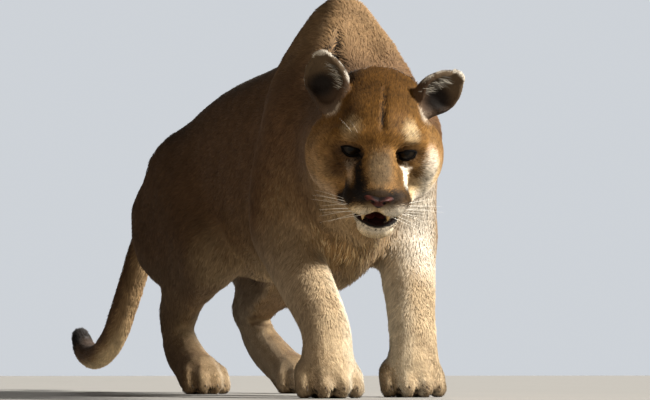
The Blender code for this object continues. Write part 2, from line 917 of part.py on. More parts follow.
def leg_planes(kind, side):
    """Planes, with normals towards the leg, that part a whole leg from the trunk."""
    s = 1 if side == "left" else -1
    if kind == "fore":
        lean = 0.30 if side == "left" else 0.0
        inner = -0.030 if side == "left" else 0.058
        return [
            ((s * inner, 0, 0), (s, 0, -lean)),
            ((0, FORE[side]["shoulder"][1] - 0.078, 0.395), (0, 0.90, -0.43)),
            ((0, 0.235, 0.262), (0, -1, -0.35)),
            ((0, 0.130, 0.402), (0, 0.15, -1)),
        ]
    knee = HIND[side]["knee"]
    flank = (0, knee[1] - 0.065, knee[2] + 0.060)
    rump = (0, 0.905, 0.440)
    return [
        ((s * 0.040, 0, 0), (s, 0, 0)),
        (flank, (0, rump[2] - flank[2], flank[1] - rump[1])),
        ((0, knee[1] - 0.070, 0), (0, 1, 0)),
        ((0, 0.948, 0), (0, -1, 0)),
    ]


def part_legs(body):
    """Parts the four legs off the trunk, and each at its elbow or knee."""
    for side in ("right", "left"):
        pose = FORE[side]
        leg = part_off(body, "upper_arm_" + side, leg_planes("fore", side))
        point, normal = wrist_cut(pose)
        forearm = part_off(leg, "forearm_" + side, [(Vector(pose["elbow"]), normal)])
        keep_side(forearm, point, -normal)
    for side in ("right", "left"):
        pose = HIND[side]
        knee, hock = Vector(pose["knee"]), Vector(pose["hock"])
        leg = part_off(body, "thigh_" + side, leg_planes("hind", side))
        down = (hock - knee).normalized() / 2 + Vector((0, 0, -1))
        shank = part_off(leg, "shank_" + side, [(knee + Vector((0, 0, -0.04)), down)])
        point, normal = ankle_cut(pose)
        keep_side(shank, point, -normal)


def part_tail(body):
    """Parts the tail off the rump, in four lengths."""
    rest = body
    for i, name in ((1, "tail_root"), (3, "tail_upper"), (4, "tail_lower"), (6, "tail_tip")):
        before, here, after = (Vector(TAIL[k][:3]) for k in (i - 1, i, i + 1))
        place = here if i > 1 else (before + here) / 2
        planes = [(place, after - before)]
        if rest is body:
            planes.append(((0, 0.860, 0), (0, 1, 0)))
        rest = part_off(rest, name, planes)


def shift_to_base():
    """Moves everything so that the origin is the middle of the base of the whole."""
    things = [t for t in bpy.data.objects if t.type == "MESH"]
    spots = np.array([tuple(v.co) for t in things for v in t.data.vertices])
    low, high = spots.min(0), spots.max(0)
    shift = Matrix.Translation((-(low[0] + high[0]) / 2, -(low[1] + high[1]) / 2, 0))
    for thing in things:
        thing.data.transform(shift)


def main():
    clear_scene()
    legs = {}
    for side in ("right", "left"):
        legs["fore", side] = foreleg_forms(*FORE[side].values())
        legs["hind", side] = hind_leg_forms(*HIND[side].values())
    flesh = trunk_forms() + sum(legs.values(), []) + tail_forms()
    point, normal = make_head(flesh)
    body = fused(
        "torso", flesh + skull_forms(), BODY_VOXEL, BODY_TRIANGLES, "tawny", flesh, BODY_SWELL
    )
    head_space = [(point, normal), ((0, 0, HEAD_PLACE[2] - 0.13), (0, 0, 1))]
    drop(part_off(body, "spare", head_space))
    part_legs(body)
    part_tail(body)
    neck_base = (Vector((-0.071, -0.040, 0.393)), Vector((-0.42, -1, -0.28)))
    part_off(body, "neck", [neck_base])
    for side in ("right", "left"):
        toe = FORE[side]["toe"]
        paws = paw_forms(toe, FORE_HEADING[side], *FORE_PAW)
        make_paw("forepaw_" + side, flesh, legs["fore", side][3], paws, wrist_cut(FORE[side]))
        toe = HIND[side]["toe"]
        paws = paw_forms(toe, HIND_HEADING[side], *HIND_PAW)
        make_paw("hindpaw_" + side, flesh, legs["hind", side][3], paws, ankle_cut(HIND[side]))
    shift_to_base()


if __name__ == "__main__":
    main()
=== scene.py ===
"""Looks of a life-size cougar: one skin under a coat of fur, with eyes, nose, mouth and whiskers.

The cat faces -Y, its left side is +X. Places on the head are in millimetres in the head's own
frame, whose origin lies midway between the eyes: +X to the cat's left, -Y out of the nose and
+Z up through the crown. Everything else is in metres.
"""

import math

import bpy
import numpy as np
from bpy.props import FloatProperty, FloatVectorProperty, IntProperty, PointerProperty
from mathutils import Matrix, Vector
from mathutils.bvhtree import BVHTree


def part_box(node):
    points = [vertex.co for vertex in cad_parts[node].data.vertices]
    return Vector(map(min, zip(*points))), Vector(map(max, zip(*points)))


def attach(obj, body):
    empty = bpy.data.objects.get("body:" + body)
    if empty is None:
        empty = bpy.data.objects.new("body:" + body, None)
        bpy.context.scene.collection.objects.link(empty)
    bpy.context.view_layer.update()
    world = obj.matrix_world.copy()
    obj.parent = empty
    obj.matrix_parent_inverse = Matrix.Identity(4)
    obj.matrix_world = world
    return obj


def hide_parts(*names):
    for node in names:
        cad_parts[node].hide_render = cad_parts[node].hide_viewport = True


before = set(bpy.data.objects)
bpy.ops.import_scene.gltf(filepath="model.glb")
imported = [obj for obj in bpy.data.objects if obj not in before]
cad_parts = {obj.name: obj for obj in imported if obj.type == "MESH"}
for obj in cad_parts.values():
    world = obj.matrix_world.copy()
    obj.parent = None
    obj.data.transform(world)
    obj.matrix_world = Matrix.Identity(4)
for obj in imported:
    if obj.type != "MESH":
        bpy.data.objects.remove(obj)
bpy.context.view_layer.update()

bl_info = {
    "name": "Cougar",
    "version": (1, 0, 0),
    "blender": (4, 5, 0),
    "location": "3D View > Sidebar > Cougar",
    "description": "Dresses the solids of a walking cougar in skin, fur, eyes, nose and mouth",
    "category": "Add Mesh",
}

MM = 0.001
SEED = 7
SIDES = ((1, "left"), (-1, "right"))

# Head, in millimetres, as the solids have it
EYE_X = 37.0
EYE_Y = 1.0
EYE_RADIUS = 14.5
NOSE_PLACE = (0.0, -80.3, -35.4)
LIDS = {"half": 12.5, "upper": 6.3, "lower": 6.2, "slant": 2.6}  # the opening between the lids


def middle_of(node):
    low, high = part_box(node)
    return (low + high) / 2


def head_frame():
    """Matrix from millimetres on the head to metres, found from the solids of eyes and nose."""
    left, right = middle_of("eye_left"), middle_of("eye_right")
    across = (left - right).normalized()
    eyes = (left + right) / 2
    out = middle_of("nose") - eyes
    out -= across * out.dot(across)
    drop = math.atan2(-NOSE_PLACE[2], EYE_Y - NOSE_PLACE[1])
    back = Matrix.Rotation(-drop, 3, across) @ -out.normalized()
    turn = Matrix((across, back, across.cross(back))).transposed().to_4x4()
    return Matrix.Translation(eyes - back * EYE_Y * MM) @ turn @ Matrix.Scale(MM, 4)


HEAD = head_frame()
HEAD_IN = HEAD.inverted()
HEAD_TURN = np.array(HEAD)[:3, :3] / MM
SPINE_X = (middle_of("thigh_left").x + middle_of("thigh_right").x) / 2

FLESH = [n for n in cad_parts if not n.startswith(("eye", "nose", "tongue", "tooth"))]

work = {}  # what one operator leaves for the next: the skin's points and what grows on them


def linear(code):
    """An sRGB hex colour as linear red, green and blue."""
    parts = [int(code[i : i + 2], 16) / 255 for i in (1, 3, 5)]
    return tuple(c / 12.92 if c <= 0.04045 else ((c + 0.055) / 1.055) ** 2.4 for c in parts)


def to_head(points):
    m = np.array(HEAD_IN)
    return points @ m[:3, :3].T + m[:3, 3]


def from_head(points):
    m = np.array(HEAD)
    return np.asarray(points, float) @ m[:3, :3].T + m[:3, 3]


def turn_from_head(vectors):
    return np.asarray(vectors, float) @ HEAD_TURN.T


def turn_to_head(vectors):
    return vectors @ HEAD_TURN


def eye_place(side):
    return np.array((side * EYE_X, EYE_Y, 0))


def unit(v):
    return v / np.maximum(np.linalg.norm(v, axis=-1, keepdims=True), 1e-12)


def step(low, high, x):
    """Rises smoothly from 0 at low to 1 at high; low may be the greater one."""
    t = np.clip((x - low) / (high - low), 0, 1)
    return t * t * (3 - 2 * t)


def blob(points, centre, radii, soft=0.45):
    """1 inside an ellipsoid, falling smoothly to 0 outside it."""
    d = np.linalg.norm((points - np.array(centre)) / np.array(radii), axis=1)
    return step(1 + soft, 1 - soft, d)


def mirrored(points):
    """The points with both sides of the head folded on to the left one."""
    out = points.copy()
    out[:, 0] = np.abs(out[:, 0])
    return out


def stroke(points, start, end, radius):
    """1 near the straight line from start to end, falling to 0 at radius."""
    a, b = np.array(start, float), np.array(end, float)
    t = np.clip((points - a) @ (b - a) / ((b - a) @ (b - a)), 0, 1)
    d = np.linalg.norm(points - a - t[:, None] * (b - a), axis=1)
    return step(radius, 0.35 * radius, d)


def strokes(points, *rows):
    """The greatest of several strokes."""
    return np.maximum.reduce([stroke(points, *row) for row in rows])


# Nodes and meshes


def add_nodes(tree, *rows):
    """Adds shader nodes to a tree, each from its name, its kind and its values.

    A value whose name has a small initial is a setting of the node. Any other is an input, and
    "name.Output" in its place links it to a node that is there already.
    """
    for key, kind, values in rows:
        node = tree.nodes.new("ShaderNode" + kind)
        node.name = key
        for name, value in values.items():
            if name[0].islower():
                setattr(node, name, value)
            elif isinstance(value, str):
                source, output = value.split(".")
                tree.links.new(tree.nodes[source].outputs[output], node.inputs[name])
            else:
                node.inputs[name].default_value = value


def new_material(name, *rows):
    """A material from rows of nodes, the last of which is its shader."""
    material = bpy.data.materials.new(name)
    material.use_nodes = True
    material.node_tree.nodes.clear()
    add_nodes(material.node_tree, *rows, ("out", "OutputMaterial", {"Surface": "shader.BSDF"}))
    return material


def deselect():
    bpy.ops.object.select_all(action="DESELECT")


def activate(thing):
    deselect()
    thing.select_set(True)
    bpy.context.view_layer.objects.active = thing


def new_thing(name, data):
    """An object in the scene with the given mesh, curve, light or camera."""
    thing = bpy.data.objects.new(name, data)
    bpy.context.scene.collection.objects.link(thing)
    return thing


def twin_of(thing):
    """A copy in the scene with a mesh of its own."""
    twin = thing.copy()
    twin.data = twin.data.copy()
    bpy.context.scene.collection.objects.link(twin)
    return twin


def join(things):
    """Joins meshes into the first of them."""
    activate(things[0])
    for thing in things:
        thing.select_set(True)
    bpy.ops.object.join()
    return bpy.context.object


def edit_mesh(operator, **settings):
    """Runs an operator of edit mode on the whole of the active mesh."""
    bpy.ops.object.mode_set(mode="EDIT")
    bpy.ops.mesh.select_all(action="SELECT")
    operator(**settings)
    bpy.ops.object.mode_set(mode="OBJECT")


def new_ball(segments, rings):
    """A sphere of radius 1 with its points."""
    deselect()
    bpy.ops.mesh.primitive_uv_sphere_add(segments=segments, ring_count=rings, radius=1)
    return bpy.context.object, get_points(bpy.context.object.data)


def new_spike(vertices, tip, cuts):
    """A slim cone of length 1 with its points, cut across and along for bending."""
    deselect()
    bpy.ops.mesh.primitive_cone_add(vertices=vertices, radius1=1, radius2=tip, depth=1)
    edit_mesh(bpy.ops.mesh.subdivide, number_cuts=cuts)
    return bpy.context.object, get_points(bpy.context.object.data)


def apply_modifier(thing, kind, **settings):
    activate(thing)
    modifier = thing.modifiers.new(kind.title(), kind)
    for name, value in settings.items():
        setattr(modifier, name, value)
    bpy.ops.object.modifier_apply(modifier=modifier.name)


def finish_piece(thing, name, material, slot, *nodes):
    """Names a piece, gives it its material and hangs it on the model's one body."""
    thing.name = name
    thing.data.name = name
    thing.data.materials.clear()
    thing.data.materials.append(material)
    thing.data.shade_smooth()
    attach(thing, "root")
    if nodes:
        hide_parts(*nodes)
    return thing


def read(items, field, kind=float):
    """A value in three parts of every item, as rows."""
    out = np.empty(len(items) * 3, kind)
    items.foreach_get(field, out)
    return out.reshape(-1, 3)


def flat(values, kind=np.float32):
    return np.ascontiguousarray(values, kind).ravel()


def get_points(mesh):
    return read(mesh.vertices, "co")


def set_points(mesh, co):
    mesh.vertices.foreach_set("co", flat(co, float))
    mesh.update()


def get_normals(mesh):
    return read(mesh.vertex_normals, "vector", np.float32).astype(float)


def get_triangles(mesh):
    mesh.calc_loop_triangles()
    return read(mesh.loop_triangles, "vertices", np.int32)


def store(mesh, name, kind, values):
    """Stores values on the mesh's points: kind is FLOAT, FLOAT_VECTOR or FLOAT_COLOR."""
    attribute = mesh.attributes.get(name) or mesh.attributes.new(name, kind, "POINT")
    field = {"FLOAT": "value", "FLOAT_VECTOR": "vector", "FLOAT_COLOR": "color"}[kind]
    attribute.data.foreach_set(field, flat(values))


def store_coat(mesh, colour):
    store(mesh, "coat", "FLOAT_COLOR", np.hstack([colour, np.ones((len(colour), 1))]))


class Web:
    """The edges of a mesh, for easing values from point to point."""

    def __init__(self, mesh):
        ends = np.empty(len(mesh.edges) * 2, np.int32)
        mesh.edges.foreach_get("vertices", ends)
        self.a, self.b = ends.reshape(-1, 2).T
        self.count = len(mesh.vertices)
        self.valence = np.maximum(np.bincount(ends, minlength=self.count), 1)

    def mean(self, values):
        out = np.empty_like(values)
        for k in range(values.shape[1]):
            column = values[:, k]
            total = np.bincount(self.a, column[self.b], self.count)
            total += np.bincount(self.b, column[self.a], self.count)
            out[:, k] = total / self.valence
        return out

    def ease(self, values, rounds, share=0.5, back=0.0):
        """Smooths the values; back over 0 keeps the volume of a surface."""
        flat = values.ndim == 1
        values = values[:, None] if flat else values
        share = share[:, None] if isinstance(share, np.ndarray) else share
        for _ in range(rounds):
            values = values + share * (self.mean(values) - values)
            if back:
                values = values - back * share * (self.mean(values) - values)
        return values[:, 0] if flat else values


# What grows on each node, or on both nodes of a pair. Each row: depth of the coat, length and width
# of its tufts in millimetres, tufts on a square centimetre, and the way the hair lies.
COAT = {
    "head": (2.4, 7.0, 1.15, 44, (0, 1, 0)),
    "jaw": (2.2, 7.0, 1.2, 40, (0, 1, -0.2)),
    "ear_left": (0.4, 4.0, 1.0, 31, (0.2, 0.2, 1)),
    "ear_right": (0.4, 4.0, 1.0, 31, (-0.2, 0.2, 1)),
    "neck": (5.5, 16.0, 1.6, 14, (0.45, 0.9, -0.25)),
    "torso": (4.6, 12.5, 1.6, 11, (0, 1, -0.30)),
    "upper_arm": (4.3, 11.5, 1.45, 14, (0, 0.30, -1)),
    "forearm": (3.8, 11.0, 1.4, 15, (0, 0.10, -1)),
    "forepaw": (2.3, 6.5, 1.2, 24, (0, -0.9, -0.7)),
    "thigh": (4.8, 13.5, 1.7, 9.5, (0, 0.55, -1)),
    "shank": (4.2, 12.0, 1.5, 13, (0, 0.55, -1)),
    "hindpaw": (2.5, 7.0, 1.3, 20, (0, -0.6, -0.9)),
    "tail_root": (5.0, 16.0, 1.8, 10.5, (0, 0.55, -0.85)),
    "tail_upper": (5.0, 16.0, 1.7, 13, (0, 0.50, -0.85)),
    "tail_lower": (5.0, 16.0, 1.7, 13, (0, 1.0, -0.10)),
    "tail_tip": (4.5, 16.0, 1.7, 13, (0, 0.9, 0.45)),
}


def coat_row(node):
    return COAT[node] if node in COAT else COAT[node.rsplit("_", 1)[0]]


def is_ear(names):
    return np.char.startswith(names, "ear")


def is_paw(names):
    return np.char.endswith(np.char.partition(names, "_")[:, 0], "paw")


# Colours of the coat, in sRGB
TONES = {
    # back and flank are darker than the cougar's own tawny, on both sides: painted shade
    "back": "#4b3828",
    "flank": "#634932",
    "low_flank": "#8d7150",
    "belly": "#d8cdb8",
    "limb": "#ab967b",
    "face": "#7f5c31",
    "crown": "#4a300f",
    "brow": "#573a15",
    "bridge": "#5f4f3a",
    "pale": "#dcd2c1",
    "cream": "#c0a880",
    "throat": "#917148",
    "shade": "#3b2817",
    "black": "#0c0806",
    "ear_back": "#1d1611",
    "ear_cup": "#3d2d1f",
    "lip": "#100c0a",
    "mouth": "#2a0f0d",
    "gum": "#6e362e",
    "tip": "#1c1510",
}


def plain(tone, points):
    """One tone at every point."""
    return np.tile(linear(TONES[tone]), (len(points), 1))


def paint(colour, *layers):
    """Lays tones over a colour in turn. A layer is a tone and how much it covers each point."""
    for tone, mask in layers:
        colour = colour + (np.array(linear(TONES[tone])) - colour) * np.clip(mask, 0, 1)[:, None]
    return colour


# Feet as the solids have them: where the middle toes end, the way the foot points in degrees,
# half its width and its length
PAWS = (
    ((-0.0874, -0.6605), -12, 0.050, 0.108),
    ((0.0776, -0.5985), -14, 0.050, 0.108),
    ((-0.0454, -0.0585), -4, 0.040, 0.104),
    ((0.1416, -0.0315), -8, 0.040, 0.104),
)
TOES = ((-0.74, 0.17), (-0.27, 0.0), (0.27, 0.0), (0.74, 0.17))  # place across and back, as shares


def paw_turn(heading):
    c, s = math.cos(math.radians(heading)), math.sin(math.radians(heading))
    return np.array(((c, -s, 0), (s, c, 0), (0, 0, 1)))


def toe_gaps(points):
    """1 in the clefts between the toes of all four feet."""
    out = np.zeros(len(points))
    for toe, heading, half, length in PAWS:
        local = (points - np.array((*toe, 0))) @ paw_turn(heading)
        for across, back in ((-0.5, 0.085), (0.0, 0.0), (0.5, 0.085)):
            front = (across * half, back * length + 0.004, 0.004)
            rear = (across * half * 0.86, back * length + 0.048, 0.047)
            out = np.maximum(out, stroke(local, front, rear, 0.0075))
    return out


def blade_fold(points):
    """1 in the fold between the shoulder blades, which is long from front to back."""
    bend = (0.000, -0.119, 0.534)
    return strokes(
        points * np.array((1, 0.25, 1)),
        ((0.012, -0.115, 0.562), bend, 0.009),
        (bend, (-0.010, -0.122, 0.512), 0.014),
    )


def breast(points):
    """1 on the shaggy fur between the forelegs."""
    return blob(points, (0.015, -0.510, 0.265), (0.065, 0.070, 0.080), 0.5)


def body_colour(points, normals, share):
    """Colour of the coat away from the head. share holds how much each node counts."""
    y, z = points[:, 1], points[:, 2]
    ahead, rise = normals[:, 1], normals[:, 2]
    trunk = share["neck"] + share["torso"] + share["tail"]
    limbs = share["limb"] + share["paw"]
    fore = step(-0.20, -0.30, y)
    rear = step(-0.15, 0.30, y) * step(-0.2, 0.2, rise)
    inward = -np.sign(points[:, 0] - SPINE_X) * normals[:, 0]
    shin = step(0.0, -0.9, ahead) * step(0.36, 0.22, z)
    blotch = step(0.2, 1.2, ripple(points, 0.035, 11) + 0.6 * ripple(points, 0.016, 12))
    chest = (share["torso"] + share["neck"]) * step(-0.30, -0.45, y)
    chest = np.maximum(chest, breast(points)) * step(0.05, -0.5, ahead) * step(0.40, 0.30, z)
    locks = ripple(points, 0.022, 13) + 0.7 * ripple(points, 0.010, 14)
    ruff = blob(points, (0.150, -0.490, 0.270), (0.045, 0.050, 0.075), 0.6)
    return paint(
        plain("flank", points),
        ("back", trunk * step(0.25, 0.95, rise)),
        # the tops of the shoulder blades are painted sandy: a painted highlight where light falls on the
        # hump
        ("low_flank", step(0.48, 0.58, z) * step(-0.30, -0.40, y) * 0.75),
        ("low_flank", trunk * step(-0.05, -0.45, rise)),
        ("cream", trunk * step(-0.40, -0.80, rise) * 0.7),
        # painted shade over the hindquarters, except where they face down
        ("shade", (1 - share["tail"]) * rear * 0.3),
        ("limb", limbs * step(0.30, 0.16, z) * (0.25 + 0.65 * fore)),
        ("belly", limbs * step(0.1, 0.9, inward) * (0.3 + 0.55 * fore)),
        ("cream", limbs * shin * 0.35),
        ("brow", limbs * blotch * step(0.05, -0.5, ahead) * 0.35),
        # painted shade at the bottoms of the paws, next to the floor
        ("shade", share["paw"] * step(0.035, 0.012, z) * 0.35),
        # painted shade in the clefts between the toes
        ("black", toe_gaps(points) * 0.9),
        ("throat", chest * 0.8),
        ("cream", chest * step(0.0, 1.2, locks) * 0.9),
        ("shade", chest * step(-0.3, -1.5, locks) * 0.55),
        # pale fur at the front of the left shoulder only, painted paler still: painted light over its
        # own pale fur
        ("pale", ruff * step(0.3, -0.4, ahead) * 0.8),
        # painted shade in the fold between the shoulder blades
        ("black", blade_fold(points) * 0.95),
        ("shade", share["tail"] * step(0.1, 0.9, rise) * 0.5),
        ("tip", share["tail"] * step(0.83, 0.87, y)),
    )


def parting(h, start, low, high):
    """1 in the parting down the middle of the forehead, with the radii of its two lengths."""
    return strokes(h, ((0, -16, start), (1, 6, 56), low), ((2, 4, 55), (3, 44, 69), high))


def head_colour(h):
    """Colour of the head's coat at places in the head's frame."""
    m = mirrored(h)
    y, z = h[:, 1], h[:, 2]
    lit = step(-6, 6, h[:, 0])  # 1 on the cat's left; the right half gets painted shade, its pale marks weaker and its dark marks darker
    tear = strokes(m, ((28, -10, -6), (24, -34, -14), 10), ((23, -30, -12), (24, -70, -29), 14))
    muzzle = (36, -70, -38)
    patch = strokes(m, ((21, -76, -34), muzzle, 17), (muzzle, (44, -36, -46), 20))
    corner = stroke(m, (41, -48, -48), (43, -32, -62), 18) * step(-70, -60, z)
    patch = np.maximum(patch * step(-58, -50, z), corner)
    around = blob(h, NOSE_PLACE, (25, 15, 14), 0.2)
    chin = step(-72, -80, z) * step(26, -4, y)
    throat = np.maximum(step(-64, -84, z) * step(-10, 20, y), step(-97, -103, z))
    spots = [(14 + 6 * k, -83 + 5 * k + row, -47 - 5.5 * row) for row in range(3) for k in range(4)]
    return paint(
        plain("face", h),
        ("brow", step(6, 26, z) * 0.7),
        ("crown", step(34, 66, z) * 0.9),
        ("bridge", blob(m, (0, -50, -6), (16, 40, 24)) * 0.9),
        ("brow", blob(m, (0, -14, 14), (14, 24, 24)) * 0.8),
        # cheeks and the ruff behind them; their pale marks are weaker on the right half, painted shade
        ("low_flank", blob(m, (74, 30, -30), (26, 46, 40)) * 0.5),
        ("cream", blob(m, (66, 0, -44), (26, 40, 30)) * (0.1 + 0.7 * lit)),
        # painted light: a pale patch on the left cheek only
        ("pale", blob(h, (69, -5, -28), (13, 22, 32)) * 0.6),
        ("pale", blob(m, (56, 30, -80), (40, 60, 26)) * (0.15 + 0.6 * lit)),
        ("brow", blob(m, (86, 44, 20), (14, 26, 30)) * 0.6),
        ("brow", blob(m, (51, -13, -25), (7, 12, 10)) * 0.7),
        # painted shade on the right forehead, in front of the ear
        ("shade", blob(h, (-50, 2, 44), (18, 26, 15), 0.7) * 0.85),
        # pale marks above and below the eye, and the dark line from its inner corner; on the right half
        # the pale marks are weaker and the dark line darker, painted shade
        ("cream", blob(m, (39, -10, 30), (11, 16, 12), 0.8) * (0.45 + 0.25 * lit)),
        # painted shade under the right eye
        ("shade", blob(h, (-46, -6, -18), (24, 20, 26)) * 0.75),
        ("pale", stroke(m, (36, -16, -17), (39, -50, -29), 10) * (0.15 + 0.7 * lit)),
        # dark ring round each eye: its own dark skin, with painted shade under the brow
        ("shade", blob(m, (EYE_X, -11, 0), (19, 14, 11)) * 0.9),
        ("black", tear * (1.0 - 0.5 * lit)),
        # painted shade down the right side of the bridge
        ("black", stroke(m, (19, -22, -6), (18, -68, -22), 11) * 0.85 * (1 - lit)),
        # pale whisker pads and chin, and the black patch at the side of the muzzle
        ("cream", blob(m, (17, -82, -55), (21, 19, 12)) * 0.95),
        ("pale", blob(m, (18, -88, -56), (13, 12, 8), 0.7) * 0.5),
        ("cream", blob(m, (32, -50, -66), (13, 20, 8)) * 0.9),
        # painted light: a paler left whisker pad, and below a black patch a little lighter on the left
        ("pale", blob(h, (25, -78, -50), (15, 14, 9), 0.6) * 0.75),
        ("black", patch * (0.97 - 0.12 * lit)),
        *(("shade", blob(m, spot, (1.8, 3, 1.5)) * 0.6) for spot in spots),
        ("black", stroke(h, (0, -88, -44), (0, -84, -66), 4.4)),
        ("black", around * step(-42, -30, z) * 0.85),
        ("black", around * step(-30, -42, z) * 0.5),
        # the parting: its dark hair, and painted shade in its crease
        ("black", parting(h, 38, 4.0, 5.0)),
        ("cream", chin),
        ("pale", chin * step(-96, -86, z) * 0.6),
        ("throat", throat * 0.9),
        # pale hair at the front of each ear's root
        ("pale", blob(m, (70, 52, 36), (15, 18, 13), 0.6) * 0.7),
    )


# Ears, as the solids have them: root, and the angles by which each leans, turns and tips
EARS = {
    -1: {"place": (68, 66, 46), "lean": 18, "turn": 20, "tip": -4},
    1: {"place": (64, 68, 44), "lean": 47, "turn": 16, "tip": -4},
}
EAR_HALF = 32


def ear_place(side):
    return np.array(EARS[side]["place"]) * (side, 1, 1)


def ear_turn(side):
    ear = EARS[side]
    turn = Matrix.Rotation(math.radians(side * ear["lean"]), 3, "Y")
    turn = turn @ Matrix.Rotation(math.radians(side * ear["turn"]), 3, "Z")
    return np.array(turn @ Matrix.Rotation(math.radians(ear["tip"]), 3, "X"))


def ear_colour(h, n, side):
    """Black behind, pale at the rim, and a brown cup with painted shade in its depth."""
    # in the ear's own frame: Z up its length, -Y out of its cup, +X away from the head
    e = (h - ear_place(side)) @ ear_turn(side) * (side, 1, 1)
    up = e[:, 2]
    facing = -(n @ ear_turn(side))[:, 1]
    front = step(-0.15, 0.25, facing)
    wide = EAR_HALF * np.interp(up, (10, 34, 48, 56), (1.0, 0.93, 0.66, 0.3))
    edge = np.maximum(np.abs(e[:, 0]) / wide, (up - 34) / 23)
    return paint(
        plain("ear_back", h),
        ("brow", step(20, 2, up) * (1 - front) * 0.8),
        ("ear_cup", front),
        ("bridge", front * step(14, 40, up) * 0.55),
        # painted shade in the depth of the cup
        ("black", front * blob(e, (8, 0, 14), (17, 30, 16)) * 0.9),
        ("pale", step(0.97, 1.03, edge) * step(-0.4, 0.1, facing) * 0.6),
    )


def mouth_places(h, n):
    """How far each place lies on the bare lips, and how far inside them."""
    across = np.abs(h[:, 0] - 1.5)
    line = -72.0 + 3.5 * (across / 30) ** 2
    gap = np.abs(h[:, 2] - line)
    ahead = np.minimum(h[:, 1] + 44, 0)
    round_jaw = np.hypot(across, ahead)
    facing = np.where(h[:, 2] > line, -n[:, 2], n[:, 2])
    near = step(10, 8, gap) * step(38, 33, round_jaw) * step(6, -8, h[:, 1])
    lips = near * np.maximum(step(-0.05, 0.3, facing), step(28, 23, round_jaw))
    inner = near * step(0.2, 0.7, facing) * step(29, 25, round_jaw)
    return lips, inner


def coat_colour(points, normals, share):
    """Colour of skin and coat at any place: one rule for both, so their markings agree."""
    h, n = to_head(points), turn_to_head(normals)
    head = share["head"][:, None]
    colour = body_colour(points, normals, share) * (1 - head) + head_colour(h) * head
    for side in (1, -1):
        ear = (share["ear"] * (h[:, 0] * side > 0))[:, None]
        colour = colour * (1 - ear) + ear_colour(h, n, side) * ear
    lips, inner = (share["head"] * places for places in mouth_places(h, n))
    gum = inner * step(-73, -70, h[:, 2]) * step(-48, -56, h[:, 1])
    return paint(colour, ("lip", lips), ("mouth", inner), ("gum", gum * 0.7))


# Skin

SWELL = 0.0004  # how far the solids grow before they are joined, so that the cuts between them close
ROUNDS = {"share": 90, "sizes": 60, "lie": 70, "skin": 26, "knee": 60, "inset": 3}  # of smoothing


def flesh_solid(voxel):
    """The CAD nodes of flesh as one closed surface."""
    twins = [twin_of(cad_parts[name]) for name in FLESH]
    for twin in twins:
        twin.parent = None
        for key in list(twin.keys()):
            del twin[key]
    skin = join(twins)
    edit_mesh(bpy.ops.mesh.remove_doubles, threshold=1e-5)
    apply_modifier(skin, "DISPLACE", mid_level=0.0, strength=SWELL)
    apply_modifier(skin, "REMESH", mode="VOXEL", voxel_size=voxel)
    return skin


def nearest_nodes(points):
    """Name of the flesh node that each point lies nearest to."""
    corners, faces, owner = [], [], []
    for k, name in enumerate(FLESH):
        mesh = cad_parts[name].data
        triangles = get_triangles(mesh)
        faces.append(triangles + sum(len(c) for c in corners))
        corners.append(get_points(mesh))
        owner += [k] * len(triangles)
    tree = BVHTree.FromPolygons(
        np.vstack(corners).tolist(), np.vstack(faces).tolist(), all_triangles=True
    )
    return np.array([owner[tree.find_nearest(p)[2]] for p in points.tolist()])


def thin_out(skin, keep, ratio):
    """Collapses edges where keep is 0 and spares the places where it is 1."""
    group = skin.vertex_groups.new(name="spare")
    for level in (0.0, 0.5, 1.0):
        chosen = np.flatnonzero(np.abs(keep - level) <= 0.25).tolist()
        group.add(chosen, 1.0 - level, "REPLACE")
    apply_modifier(skin, "DECIMATE", ratio=ratio, vertex_group="spare", vertex_group_factor=6.0)
    skin.vertex_groups.clear()


